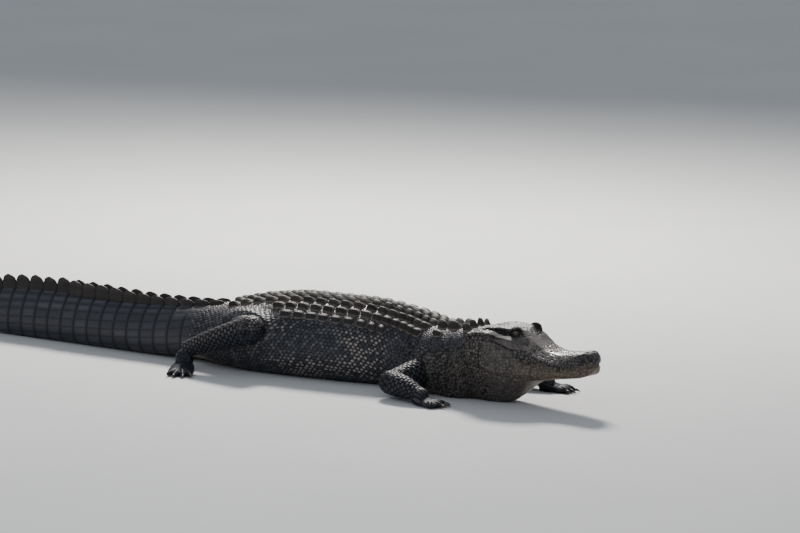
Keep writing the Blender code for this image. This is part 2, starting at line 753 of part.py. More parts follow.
def back_plates():
    """The scutes of the back in cross rows: six in a row at the ends, eight in the middle of the trunk."""
    made = []
    s = ROW_START
    for row in range(ROWS):
        step = ROW_STEP * (0.80 + 0.20 * min(row / 6, 1))
        columns = (0.5, 1.5, 2.5, 3.5)[: 4 if 4 <= row <= 12 else (3 if row <= 13 else 2)]
        for column in columns:
            size = "high" if column < 2 else ("middle" if column < 3 else "low")
            spread_out = COLUMN * (0.90 + 0.10 * min(row / 5, 1))
            for side in (1, -1):
                made.append((s, side * column * spread_out, size))
        s += step
    return made


def neck_plates():
    """The raised shield of the neck, with smaller scutes before, beside and behind it."""
    made = []
    for side in (1, -1):
        made += [(s, side * 0.024, "nuchal") for s in (0.420, 0.464)]
        made += [(0.444, side * 0.062, "small_nuchal")]
        made += [(0.370, side * across, "occipital") for across in (0.015, 0.043)]
    return made


def crest_fins(start, end):
    made = []
    s = CREST_START
    while s < CREST_END:
        height = float(curve(CREST_S, CREST_HEIGHT, s)) * RNG.uniform(0.93, 1.07)
        step = CREST_STEP + (CREST_TIP_STEP - CREST_STEP) * float(smooth((s - 1.9) / 0.45))
        if start < s - 0.5 * step and s + 0.5 * step < end:
            apart = float(curve(PAIR_S, PAIR_APART, s))
            for side in ((0,) if s > SINGLE_FROM else (1, -1)):
                made.append(fin(s, side * apart, height, side * PAIR_LEAN, step * CREST_FILL))
        s += step
    return made


def add_scutes(body, places):
    join_or_cut(body, [plate(*place) for place in places], "UNION")


def main():
    clear_scene()
    skin = material("skin", (0.07, 0.065, 0.055), 0.55)
    jaw_skin = material("jaw_skin", (0.22, 0.18, 0.12), 0.55)
    eye = material("eye", (0.10, 0.08, 0.03), 0.1)
    claw = material("claw", (0.05, 0.045, 0.04), 0.4)
    make_head(skin)
    head_loft("lower_jaw", jaw_half, JAW_STATIONS, jaw_skin)
    make_eyes(eye)
    neck, torso = body_loft("neck", skin), body_loft("torso", skin)
    plates = back_plates()
    half = 0.5 * SIZES["high"][0] + 0.002
    add_scutes(neck, neck_plates() + [p for p in plates if p[0] < TORSO_START - half])
    add_scutes(torso, [p for p in plates if TORSO_START + half < p[0] < TAIL_START - half])
    join_or_cut(torso, crest_fins(CREST_S[0], TAIL_START), "UNION")
    for name in ("tail_base", "tail_middle", "tail_rear"):
        start, end, _ = LENGTHS[name]
        join_or_cut(body_loft(name, skin), crest_fins(start, end), "UNION")
    for name, leg in LEGS.items():
        make_leg(name, leg, skin, claw)
    centre_all()


main()
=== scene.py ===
"""American alligator, 2.4 m long, resting with its head raised: one scaly skin with the scutes set on it.

Metres, in the frame's own axes: X along the trunk toward the head, Y to the animal's left, Z up, and the
floor at Z = 0.
Distances along the animal, called s, are measured from the tip of the snout.
"""

import math

import bpy
import numpy as np
from mathutils import Matrix, Vector


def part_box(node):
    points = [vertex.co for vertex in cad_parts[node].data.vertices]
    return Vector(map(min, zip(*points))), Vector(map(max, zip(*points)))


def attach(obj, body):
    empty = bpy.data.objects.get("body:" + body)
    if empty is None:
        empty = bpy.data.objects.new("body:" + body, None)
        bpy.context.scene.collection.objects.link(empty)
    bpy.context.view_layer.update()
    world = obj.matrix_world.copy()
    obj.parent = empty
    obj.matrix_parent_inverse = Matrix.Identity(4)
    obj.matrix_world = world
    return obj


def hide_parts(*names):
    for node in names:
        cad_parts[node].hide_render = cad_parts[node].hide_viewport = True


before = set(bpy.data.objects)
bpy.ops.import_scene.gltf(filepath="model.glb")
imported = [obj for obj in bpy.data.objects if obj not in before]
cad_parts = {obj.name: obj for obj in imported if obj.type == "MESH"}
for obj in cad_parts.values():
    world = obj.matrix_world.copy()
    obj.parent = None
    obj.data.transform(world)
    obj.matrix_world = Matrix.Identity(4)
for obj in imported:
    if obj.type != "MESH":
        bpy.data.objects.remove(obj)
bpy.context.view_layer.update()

# Sizes of the animal, as in the solids. Only claws and tail lobes are a little longer here, and the two
# rows of lobes stand closer together. The pale top of a leg is painted highlight, and its number says how
# pale.

TOTAL = 2.4
HEAD_LENGTH = 0.35
NECK_START = 0.355
ORIGIN_AT = 0.90
HEAD_TURN = math.radians(9)
NECK_TURN = math.radians(29)
TAIL_TURN = math.radians(-4)
HEAD_PITCH = math.radians(4.5)
HEAD_LIFT = 0.058
PIVOT_Z = 0.09

BODY_S = [
    0.355, 0.42, 0.50, 0.60, 0.75, 0.90, 1.02, 1.12, 1.20, 1.28, 1.40, 1.55, 1.75, 1.95, 2.12, 2.28, 2.40,
]
BODY_WIDTH = [
    0.090, 0.094, 0.106, 0.126, 0.146, 0.155, 0.150, 0.124, 0.098, 0.084, 0.070, 0.057, 0.043, 0.030, 0.020,
    0.011, 0.004,
]
BODY_TOP = [
    0.185, 0.172, 0.164, 0.176, 0.193, 0.193, 0.181, 0.160, 0.147, 0.140, 0.135, 0.132, 0.128,
    0.112, 0.083, 0.048, 0.014,
]
BODY_LOW = [
    -0.010, -0.012, -0.008, -0.008, -0.012, -0.012, -0.012, -0.006, 0.002, 0.0, -0.004, -0.004, -0.004,
    -0.004, -0.003, -0.002, -0.002,
]
UPPER_POWER = [2.3, 2.3, 2.3, 2.3, 2.2, 2.2, 2.2, 2.1, 2.0, 1.9, 1.75, 1.65, 1.6, 1.6, 1.7, 1.8, 2.0]
WIDEST = [
    0.56, 0.44, 0.42, 0.40, 0.38, 0.38, 0.38, 0.40, 0.42, 0.42, 0.42, 0.40, 0.38, 0.38, 0.4, 0.42, 0.45,
]
HEAD_X = [
    -0.005, 0.02, 0.05, 0.08, 0.105, 0.125, 0.14, 0.16, 0.185, 0.205, 0.23, 0.255, 0.28, 0.297,
    0.31, 0.322, 0.330, 0.3345,
]
MOUTH_Z = [
    0.098, 0.100, 0.101, 0.099, 0.090, 0.077, 0.060, 0.049, 0.046, 0.048, 0.040, 0.034, 0.039,
    0.042, 0.044, 0.045, 0.046, 0.047,
]
LIP_Y = [
    0.0895, 0.0930, 0.092, 0.089, 0.084, 0.079, 0.075, 0.069, 0.064, 0.061, 0.059, 0.055, 0.049,
    0.0475, 0.043, 0.034, 0.022, 0.008,
]
CHEEK_Y = [
    0.088, 0.0925, 0.092, 0.090, 0.086, 0.081, 0.076, 0.070, 0.065, 0.061, 0.0585, 0.0545, 0.0485,
    0.047, 0.043, 0.034, 0.021, 0.007,
]
CHEEK_Z = [
    0.109, 0.117, 0.119, 0.116, 0.108, 0.100, 0.091, 0.075, 0.062, 0.056, 0.047, 0.043, 0.048,
    0.053, 0.056, 0.056, 0.053, 0.050,
]
SHELF_Y = [
    0.066, 0.068, 0.066, 0.062, 0.058, 0.056, 0.056, 0.055, 0.054, 0.053, 0.052, 0.049, 0.044,
    0.0405, 0.036, 0.027, 0.015, 0.006,
]
SHELF_Z = [
    0.114, 0.121, 0.122, 0.119, 0.114, 0.110, 0.103, 0.090, 0.071, 0.062, 0.0545, 0.0520, 0.059,
    0.066, 0.068, 0.065, 0.060, 0.052,
]
RIM_Y = [
    0.050, 0.054, 0.052, 0.048, 0.045, 0.044, 0.042, 0.036, 0.033, 0.032, 0.032, 0.031, 0.029,
    0.028, 0.026, 0.020, 0.011, 0.004,
]
RIM_Z = [
    0.122, 0.127, 0.130, 0.130, 0.129, 0.128, 0.118, 0.103, 0.085, 0.0760, 0.069, 0.068, 0.070,
    0.072, 0.073, 0.070, 0.062, 0.053,
]
TOP_Z = [
    0.121, 0.126, 0.128, 0.127, 0.123, 0.119, 0.112, 0.100, 0.086, 0.0775, 0.070, 0.069, 0.070,
    0.072, 0.073, 0.070, 0.062, 0.053,
]
JAW_LOW = [
    0.004, 0.002, 0.0, 0.0, 0.0, 0.0, 0.0, 0.001, 0.002, 0.003, 0.005, 0.007, 0.009, 0.0105, 0.013,
    0.018, 0.026, 0.034,
]
THROAT = [
    0.072, 0.070, 0.068, 0.062, 0.050, 0.036, 0.024, 0.013, 0.005, 0.003, 0.002, 0.001, 0.001,
    0.001, 0.001, 0.001, 0.001, 0.001,
]
SNOUT_END = HEAD_X[-1]
JOWL_X, JOWL_REACH, JOWL_OUT = 0.075, 0.040, 0.006
EYE_X, EYE_Y, EYE_Z, EYE_RADIUS = 0.126, 0.0425, 0.116, 0.0125
LID_RADII = (0.0180, 0.0150, 0.0175)
NOSTRIL_AT = (0.314, 0.0125, 0.0745)
EAR_AT = (0.076, 0.060, 0.1245)

ROW_START, ROW_STEP, ROWS = 0.52, 0.036, 18
COLUMN = 0.033
CREST_S = [1.16, 1.25, 1.40, 1.60, 1.80, 2.05, 2.36]
CREST_HEIGHT = [0.010, 0.015, 0.024, 0.034, 0.036, 0.025, 0.007]
CREST_STEP, CREST_TIP_STEP = 0.044, 0.028
CREST_FILL = 1.0
CREST_START, CREST_END, SINGLE_FROM = 1.178, 2.35, 1.63
PAIR_S = [1.16, 1.30, 1.50, 1.63]
PAIR_APART = [0.017, 0.021, 0.013, 0.006]
PAIR_LEAN = 0.16
PLATE_SIZES = {
    "low": (0.030, 0.029, 0.0070),
    "middle": (0.032, 0.030, 0.0095),
    "high": (0.033, 0.031, 0.0115),
    "nuchal": (0.042, 0.034, 0.0200),
    "small_nuchal": (0.026, 0.022, 0.0120),
    "occipital": (0.022, 0.022, 0.0180),
}

FRONT = {
    "upper": [(0.040, 0.042), (0.036, 0.036), (0.030, 0.030)],
    "lower": [(0.031, 0.031), (0.029, 0.028), (0.020, 0.018)],
    "ankle": {"height": 0.0245, "radii": (0.0225, 0.0225, 0.0190)},
    "palm": (0.060, 0.030, 0.013),
    "toe": 0.040,
    "pale_lit_top": 0.10,
}
HIND = {
    "upper": [(0.048, 0.050), (0.042, 0.044), (0.034, 0.036)],
    "lower": [(0.035, 0.037), (0.028, 0.030), (0.021, 0.021)],
    "ankle": {"height": 0.0320, "radii": (0.0245, 0.0245, 0.0260)},
    "palm": (0.085, 0.034, 0.015),
    "toe": 0.055,
    "pale_lit_top": 0.28,
}
LEGS = {
    "front_right": FRONT | {
        "joints": [(0.395, -0.100, 0.066), (0.340, -0.238, 0.040), (0.437, -0.272, 0.024)],
        "forward": (1.0, -0.25),
        "fan": (-48, -24, 0, 22, 46),
    },
    "front_left": FRONT | {
        "joints": [(0.425, 0.000, 0.076), (0.530, 0.095, 0.046), (0.625, 0.072, 0.024)],
        "forward": (0.95, 0.25),
        "fan": (46, 22, 0, -24, -48),
    },
    "hind_right": HIND | {
        "joints": [(-0.205, -0.055, 0.082), (-0.096, -0.168, 0.121), (-0.276, -0.190, 0.054)],
        "forward": (0.35, -0.94),
        "fan": (-30, -10, 10, 30),
    },
    "hind_left": HIND | {
        "joints": [(-0.215, 0.055, 0.078), (-0.085, 0.175, 0.096), (-0.210, 0.205, 0.042)],
        "forward": (0.45, 0.89),
        "fan": (30, 10, -10, -30),
    },
}
CLAWS = 3

HEEL = 0.018
TOES_AT, TOES_APART, TOE_ROOT = 0.82, 0.75, 0.012
PALM_RINGS = [(0.0, 0.45, 0.9), (0.15, 0.72, 1.25), (0.45, 0.9, 1.1), (0.8, 1.0, 0.75), (1.0, 0.8, 0.55)]
TOE_RINGS = [
    (0.0, 0.009, 0.0085, 0.0085), (0.4, 0.010, 0.0078, 0.0082), (0.8, 0.008, 0.0062, 0.0068),
    (1.0, 0.006, 0.0048, 0.0052),
]
CLAW_LENGTH = 0.018
CLAW_RINGS = [(0, 0.0, 0.0042), (0.25, 0.0010, 0.0038), (0.5, 0.0006, 0.0031), (0.75, -0.0010, 0.0021),
              (1.0, -0.0034, 0.0007)]

RNG = np.random.default_rng(11)


# Curves and the animal's own axes.

def smooth(t):
    """From 0 to 1 with a soft start and end."""
    t = np.clip(t, 0.0, 1.0)
    return t * t * (3 - 2 * t)


def over(x, start, width):
    """From 0 at start to 1 this far above it."""
    return smooth((x - start) / width)


def under(x, start, width):
    """From 0 at start to 1 this far below it."""
    return smooth((start - x) / width)


def bell(gap, width):
    """1 where the gap is 0, falling away on both sides."""
    return np.exp(-((gap / width) ** 2))


def mixed(a, b, share):
    """Between a and b, all b where share is 1."""
    return a * (1 - share) + b * share


def curve(xs, ys, x):
    """A smooth curve through the points, with no overshoot."""
    xs, ys = np.asarray(xs, float), np.asarray(ys, float)
    step, rise = np.diff(xs), np.diff(ys)
    slope = rise / step
    tangent = np.zeros(len(xs))
    tangent[0], tangent[-1] = slope[0], slope[-1]
    same = slope[:-1] * slope[1:] > 0
    weight = 2 * slope[:-1] * slope[1:] / np.where(same, slope[:-1] + slope[1:], 1)
    tangent[1:-1] = np.where(same, weight, 0)
    x = np.clip(x, xs[0], xs[-1])
    i = np.clip(np.searchsorted(xs, x, side="right") - 1, 0, len(xs) - 2)
    t = (x - xs[i]) / step[i]
    near = (1 + 2 * t) * ys[i] + t * step[i] * tangent[i]
    far = (3 - 2 * t) * ys[i + 1] + (t - 1) * step[i] * tangent[i + 1]
    return (1 - t) ** 2 * near + t * t * far


def unit(way):
    return way / np.linalg.norm(way)


def spline(points, parts):
    """Catmull-Rom points through these, parts to a span, both ends included."""
    points = np.asarray(points, float)
    padded = np.vstack([2 * points[0] - points[1], points, 2 * points[-1] - points[-2]])
    made = []
    for i in range(len(points) - 1):
        a, b, c, d = padded[i : i + 4]
        second, third = 2 * a - 5 * b + 4 * c - d, 3 * b - a - 3 * c + d
        for k in range(parts):
            t = k / parts
            made.append(0.5 * (2 * b + (c - a) * t + second * t**2 + third * t**3))
    made.append(points[-1])
    return np.array(made)


def heading(s):
    """The way the animal faces at s, as an angle from +X, negative to its right."""
    s = np.asarray(s, float)
    front = -NECK_TURN * under(s, 0.72, 0.25)
    front = front + (NECK_TURN - HEAD_TURN) * under(s, 0.46, 0.10)
    return front + TAIL_TURN * over(s, 1.12, 0.35)


SPINE_S = np.linspace(0, TOTAL, 481)


def spine_path():
    """The line of the back seen from above, from the snout, with its origin in the trunk."""
    step = SPINE_S[1] - SPINE_S[0]
    angle = heading(SPINE_S)
    middle = (angle[1:] + angle[:-1]) / 2
    x = np.concatenate([[0], np.cumsum(-step * np.cos(middle))])
    y = np.concatenate([[0], np.cumsum(-step * np.sin(middle))])
    start = int(round(ORIGIN_AT / step))
    return x - x[start], y - y[start]


SPINE_X, SPINE_Y = spine_path()


def on_spine(s, left, z):
    """The place at s, this far to the animal's left and this high, before the shift to the frame's middle."""
    angle = heading(s)
    x = np.interp(s, SPINE_S, SPINE_X) - left * np.sin(angle)
    y = np.interp(s, SPINE_S, SPINE_Y) + left * np.cos(angle)
    return np.stack(np.broadcast_arrays(x, y, z), -1)


def head_spot(x, left, z):
    """From the head's own frame, x forward of the rear of the skull table, to the animal's."""
    x, left, z = np.broadcast_arrays(np.asarray(x, float), left, z)
    cos, sin = math.cos(HEAD_PITCH), math.sin(HEAD_PITCH)
    angle = float(heading(0.2))
    base = on_spine(HEAD_LENGTH, 0.0, 0.0)
    lowest = PIVOT_Z - (HEAD_LIFT + PIVOT_Z + x * sin) / cos
    z = np.maximum(z, lowest)
    along = x * cos - (z - PIVOT_Z) * sin
    up = HEAD_LIFT + PIVOT_Z + x * sin + (z - PIVOT_Z) * cos
    return np.stack(
        [
            base[0] + along * math.cos(angle) - left * math.sin(angle),
            base[1] + along * math.sin(angle) + left * math.cos(angle),
            up,
        ],
        -1,
    )


def middle_of(node):
    low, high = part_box(node)
    return (np.array(low) + np.array(high)) / 2


SHIFT = middle_of("eye_left") - head_spot(EYE_X, EYE_Y, EYE_Z)
SHIFT[2] = 0.0


def head_axes():
    """The head's own axes in the frame, as columns."""
    origin = head_spot(0, 0, PIVOT_Z)
    ahead = head_spot(1, 0, PIVOT_Z) - origin
    left = head_spot(0, 1, PIVOT_Z) - origin
    return np.stack([ahead, left, np.cross(ahead, left)], 1)


HEAD_AXES = head_axes()


# Cell patterns: rows of scales on a flat pair of measures.

FAR = 9.0
CELL_SEAM, SPACE_SEAM = 0.34, 0.30


def chance(i, j, seed):
    """A number from 0 to 1 that is fixed for each whole pair i, j."""
    scattered = np.sin(i * 127.1 + j * 311.7 + seed * 74.7) * 43758.5453
    return scattered - np.floor(scattered)


def cells(u, v, jitter=0.3, seed=0, offset=0.5):
    """Scales on a grid of unit cells: height from 0 at the edge to 1 inside, a number for each, and
    distance to its middle."""
    u, v = np.broadcast_arrays(u, v)
    row = np.floor(v)
    near = np.full(u.shape, FAR)
    second = np.full(u.shape, FAR)
    pick = np.zeros(u.shape)
    for dj in (-1, 0, 1):
        j = row + dj
        slide = offset * (j % 2)
        base = np.floor(u - slide)
        for di in (-1, 0, 1):
            i = base + di
            cu = i + 0.5 + slide + jitter * (chance(i, j, seed) - 0.5)
            cv = j + 0.5 + jitter * (chance(i, j, seed + 1) - 0.5)
            gap = np.hypot(u - cu, v - cv)
            closer = gap < near
            second = np.where(closer, near, np.minimum(second, gap))
            pick = np.where(closer, chance(i, j, seed + 2), pick)
            near = np.where(closer, gap, near)
    return smooth((second - near) / CELL_SEAM), pick, near


def cells_in_space(spots, size, jitter=0.75, seed=0):
    """Scales of one size wherever the skin runs, as cells gives them: height, a number for each, distance."""
    at = np.asarray(spots) / size
    corner = np.floor(at)
    near, second = np.full(at.shape[:-1], FAR), np.full(at.shape[:-1], FAR)
    pick = np.zeros(at.shape[:-1])
    for step in np.ndindex(3, 3, 3):
        i, j, k = (corner[..., axis] + step[axis] - 1 for axis in range(3))
        gap = 0.0
        for axis, whole in enumerate((i, j, k)):
            middle = whole + 0.5 + jitter * (chance(i + 57.0 * k, j, seed + axis) - 0.5)
            gap = gap + (at[..., axis] - middle) ** 2
        gap = np.sqrt(gap)
        closer = gap < near
        second = np.where(closer, near, np.minimum(second, gap))
        pick = np.where(closer, chance(i + 57.0 * k, j, seed + 5), pick)
        near = np.where(closer, gap, near)
    return smooth((second - near) / SPACE_SEAM), pick, near


def bricks(u, v, edge=0.12, seed=0):
    """Right-angled scales in rows: height and number as from cells, and distance from the middle in v."""
    u, v = np.broadcast_arrays(u, v)
    i, j = np.floor(u), np.floor(v)
    across, along = np.abs(u - i - 0.5), np.abs(v - j - 0.5)
    inside = np.minimum(0.5 - across, 0.5 - along)
    return smooth(inside / edge), chance(i, j, seed), along


def grain(x, y, seed=0):
    """Smooth noise from -1 to 1 with features one unit across."""
    i, j = np.floor(x), np.floor(y)
    tx, ty = smooth(x - i), smooth(y - j)
    low = chance(i, j, seed) * (1 - tx) + chance(i + 1, j, seed) * tx
    high = chance(i, j + 1, seed) * (1 - tx) + chance(i + 1, j + 1, seed) * tx
    return 2 * (low * (1 - ty) + high * ty) - 1


# The skin of head and body: rings of points from snout to tail, each from the belly round the left side.

LOW_COUNT, HIGH_COUNT = 96, 88
HALF_COUNT = LOW_COUNT + 1 + HIGH_COUNT
AROUND = 2 * HALF_COUNT - 2
HEAD_STEP, BODY_STEP, TAIL_STEP = 0.0013, 0.0025, 0.0030
JOIN_FROM, JOIN_TO = 0.335, 0.405
PARTS_AT = {
    "head": 0.0, "neck": NECK_START, "torso": 0.60, "tail_base": 1.24, "tail_middle": 1.62, "tail_rear": 2.0,
}
MOUTH_SHARE = 0.46
LIP_DROP = 0.0022
GROOVE = 0.0065
TIP_LONG, TIP_RINGS = 0.0045, 6


def points_along(outline, shares):
    """Points on a polyline at these shares of its length."""
    outline = np.asarray(outline, float)
    lengths = np.concatenate([[0], np.cumsum(np.linalg.norm(np.diff(outline, axis=0), axis=1))])
    return np.stack([np.interp(shares * lengths[-1], lengths, outline[:, k]) for k in range(2)], 1)


def mouth_open(x):
    """1 along the mouth, falling behind its corner to a shallow crease."""
    crease = 0.30 * float(smooth(x / 0.04))
    return max(1 - float(under(x, 0.11, 0.05)), crease)


def head_half(x):
    """Half outline of the closed head at x: throat, jaw, the groove of the mouth, lip, cheek and top."""
    lip, mouth = curve(HEAD_X, LIP_Y, x), curve(HEAD_X, MOUTH_Z, x)
    low, throat = curve(HEAD_X, JAW_LOW, x), curve(HEAD_X, THROAT, x)
    gape = mouth_open(x)
    edge = max(lip - 0.0078 * gape, 0.5 * lip)
    side = max(lip - 0.002 - 0.002 * gape, 0.55 * lip)
    depth = mouth - low
    swell = JOWL_OUT * math.exp(-(((x - JOWL_X) / JOWL_REACH) ** 2))
    jaw = [
        (0.0, low - throat),
        (0.45 * side, low - 0.75 * throat),
        (0.84 * side, low),
        (side + swell, low + 0.42 * depth),
        (edge + 0.0015 * (1 - gape), mouth - min(0.008, 0.35 * depth)),
        (edge, mouth - 0.0006),
    ]
    upper = [
        (lip - 0.0008 * gape, mouth - LIP_DROP * gape),
        (curve(HEAD_X, CHEEK_Y, x), curve(HEAD_X, CHEEK_Z, x)),
        (curve(HEAD_X, SHELF_Y, x), curve(HEAD_X, SHELF_Z, x)),
        (curve(HEAD_X, RIM_Y, x), curve(HEAD_X, RIM_Z, x)),
        (0.0, curve(HEAD_X, TOP_Z, x)),
    ]
    jaw, upper = spline(jaw, 10), spline(upper, 12)
    groove = [(max(edge - GROOVE * gape, 0.3 * lip), mouth + 0.0003)]
    low_half = points_along(jaw, np.linspace(0, 1, LOW_COUNT))
    return np.vstack([low_half, groove, points_along(upper, np.linspace(0, 1, HIGH_COUNT))])


def body_half(s):
    """Half outline of the body at s, flat where it rests, in the same order as the head's."""
    turn = np.linspace(-math.pi / 2, math.pi / 2, 361)
    width, top = curve(BODY_S, BODY_WIDTH, s), curve(BODY_S, BODY_TOP, s)
    low, power = curve(BODY_S, BODY_LOW, s), curve(BODY_S, UPPER_POWER, s)
    middle = low + (top - low) * curve(BODY_S, WIDEST, s)
    bend = np.where(turn >= 0, power, 2.5)
    left = width * np.abs(np.cos(turn)) ** (2 / bend)
    height = np.where(turn >= 0, top - middle, middle - low)
    z = middle + height * np.sign(turn) * np.abs(np.sin(turn)) ** (2 / bend)
    outline = np.stack([left, np.maximum(z, 0.0)], 1)
    shares = np.interp(np.arange(HALF_COUNT), [0, LOW_COUNT, HALF_COUNT - 1], [0, MOUTH_SHARE, 1])
    return points_along(outline, shares)


def whole_ring(half):
    """A closed ring from the left half: belly, left side, top, right side."""
    right = half[-2:0:-1] * (-1, 1)
    return np.vstack([half, right])


def ring_places():
    """Where along the animal the rings of the skin lie, close together on the head."""
    turn = np.linspace(0.96, 0, TIP_RINGS, endpoint=False) * math.pi / 2
    tip = HEAD_LENGTH - SNOUT_END - TIP_LONG * np.sin(turn)
    head = np.concatenate([tip, np.arange(HEAD_LENGTH - SNOUT_END, NECK_START, HEAD_STEP)])
    spans = [(NECK_START, 0.60, BODY_STEP), (0.60, 1.24, BODY_STEP), (1.24, 1.62, TAIL_STEP)]
    spans += [(1.62, 2.0, TAIL_STEP), (2.0, TOTAL, TAIL_STEP)]
    places = [head]
    for start, end, step in spans:
        places.append(np.linspace(start, end, int(round((end - start) / step)), endpoint=False))
    return np.concatenate([*places, [TOTAL]])


def ring_at(s):
    """The ring of skin at s: of the head, of the body, or between the two at the nape."""
    body_share = float(smooth((s - JOIN_FROM) / (JOIN_TO - JOIN_FROM)))
    head = body = 0.0
    if body_share < 1:
        x = HEAD_LENGTH - s
        outline = whole_ring(head_half(min(max(x, HEAD_X[0]), SNOUT_END)))
        past = max(x - SNOUT_END, 0) / TIP_LONG
        middle = outline.mean(0)
        outline = middle + (outline - middle) * math.sqrt(1 - past**2)
        head = head_spot(x, outline[:, 0], outline[:, 1])
    if body_share > 0:
        outline = whole_ring(body_half(s))
        lean = HEAD_PITCH * float(1 - smooth((s - NECK_START) / 0.12))
        back = (outline[:, 1] - PIVOT_Z - HEAD_LIFT) * math.tan(lean)
        angle = float(heading(s))
        body = on_spine(s, outline[:, 0], outline[:, 1])
        body = body - back[:, None] * (math.cos(angle), math.sin(angle), 0)
    return head * (1 - body_share) + body * body_share


RING_S = ring_places()
RINGS = np.array([ring_at(float(s)) for s in RING_S]) + SHIFT
RINGS[:, :, 2] = np.maximum(RINGS[:, :, 2], 0.0)


def normals_of(rings):
    """Outward normals of the ring grid."""
    ahead = np.gradient(rings, axis=0)
    round_way = np.roll(rings, -1, axis=1) - np.roll(rings, 1, axis=1)
    normal = np.cross(round_way, ahead)
    length = np.linalg.norm(normal, axis=2, keepdims=True)
    return normal / np.maximum(length, 1e-12)


NORMALS = normals_of(RINGS)
if NORMALS[len(NORMALS) // 2, HALF_COUNT - 1, 2] < 0:
    NORMALS = -NORMALS
COLUMN_OF = np.minimum(np.arange(AROUND), AROUND - np.arange(AROUND))
SIDE_OF = np.where(np.arange(AROUND) < HALF_COUNT, 1.0, -1.0)


def arcs_of(rings):
    """Distance of each point from the middle of the back, round the skin, positive on the left."""
    half = rings[:, :HALF_COUNT]
    steps = np.linalg.norm(np.diff(half, axis=1), axis=2)
    summed = np.cumsum(steps[:, ::-1], axis=1)[:, ::-1]
    from_top = np.concatenate([summed, np.zeros((len(rings), 1))], axis=1)
    return from_top[:, COLUMN_OF] * SIDE_OF


def lengths_of(rings, level_at):
    """Distance of each point along its own line from snout to tail, made equal to s at one ring."""
    steps = np.linalg.norm(np.diff(rings, axis=0), axis=2)
    total = np.concatenate([np.zeros((1, AROUND)), np.cumsum(steps, axis=0)])
    row = int(np.searchsorted(RING_S, level_at))
    return total - total[row] + level_at


ARCS = arcs_of(RINGS)
GIRTH_HALF = np.abs(ARCS[:, :1])
S_GRID = np.repeat(RING_S[:, None], AROUND, axis=1)
LONG = lengths_of(RINGS, 0.70)
# Sizes of scales, along the animal and round it or the same both ways, and how deep their seams are.
FLANK_SCALE, FINE_SCALE, PIT_SCALE = (0.0124, 0.0086), (0.0072, 0.0068), (0.0070, 0.0062)
NECK_SCALE, JAW_SCALE, CHEEK_SCALE, KNEE_SCALE, KNOB_SCALE = 0.0086, 0.0085, 0.0090, 0.0088, 0.0085
BELLY_WIDE, BLOCK_WIDE = 0.019, 0.0215
LIMB_SCALE, PALM_SCALE, TOE_SCALE = (0.0088, 0.0190), (0.0065, 0.0060), (0.0050, 0.012)
FLANK_DEPTH, TAIL_DEPTH, HEAD_DEPTH, BONE_DEPTH, THROAT_DEPTH = 0.0019, 0.0015, 0.0009, 0.0005, 0.0009
LIMB_DEPTH, PALM_DEPTH, TOE_DEPTH = 0.0011, 0.0008, 0.0009
NECK_SCALES = cells_in_space(RINGS, NECK_SCALE, 0.75, 12)
RING_GAPS = np.gradient(LONG, axis=0)
CROWDED = 1 - np.clip((RING_GAPS - 0.0003) / 0.0009, 0, 1)


def skin_at(s, arc):
    """Point and outward normal of the smooth skin at s and at arc from the middle of the back."""
    s, arc = np.broadcast_arrays(np.asarray(s, float), arc)
    at = np.interp(s, RING_S, np.arange(len(RING_S)))
    row = np.clip(np.floor(at).astype(int), 0, len(RING_S) - 2)
    part = (at - row)[..., None]
    spots, outs = [], []
    for r in (row, row + 1):
        step = np.abs(ARCS[r, HALF_COUNT - 2])
        back = np.clip(np.abs(arc) / step, 0, HIGH_COUNT - 2)
        column = np.where(arc >= 0, HALF_COUNT - 1 - back, HALF_COUNT - 1 + back)
        c = np.clip(np.floor(column).astype(int), 0, AROUND - 2)
        t = (column - c)[..., None]
        spots.append(RINGS[r, c] * (1 - t) + RINGS[r, c + 1] * t)
        outs.append(NORMALS[r, c] * (1 - t) + NORMALS[r, c + 1] * t)
    out = outs[0] * (1 - part) + outs[1] * part
    return spots[0] * (1 - part) + spots[1] * part, out / np.linalg.norm(out, axis=-1, keepdims=True)


# Rows of scutes: the same cross rows run over back, flank and belly, and the same whorls round the tail.

def back_rows():
    """Where along the animal the cross rows of back plates lie."""
    rows, s = [], ROW_START
    for row in range(ROWS):
        rows.append(s)
        s += ROW_STEP * (0.80 + 0.20 * min(row / 6, 1))
    return rows


def crest_step(s):
    return CREST_STEP + (CREST_TIP_STEP - CREST_STEP) * float(over(s, 1.9, 0.45))


def whorl_places():
    """Where along the tail the upright lobes stand."""
    places, s = [], CREST_START
    while s < CREST_END:
        places.append(s)
        s += crest_step(s)
    return places


BACK_ROWS = back_rows()
WHORLS = whorl_places()
NECK_ROWS = [0.375, 0.420, 0.464]
ROW_LINE = sorted(NECK_ROWS + BACK_ROWS[:-1] + WHORLS)


def row_count(s):
    """Which cross row s lies in: whole numbers fall half way between rows."""
    marks = np.array(ROW_LINE)
    return np.interp(s, marks, np.arange(len(marks)) + 0.5)


REACH_S, REACH = [0.50, 0.62, 0.66, 0.95, 1.0, 1.10, 1.18], [0.72, 0.72, 0.95, 1.0, 0.78, 0.62, 0.42]


def plate_reach(s):
    """How far down the sides the scutes reach at s, as a share of their full four columns."""
    return np.interp(s, REACH_S, REACH)


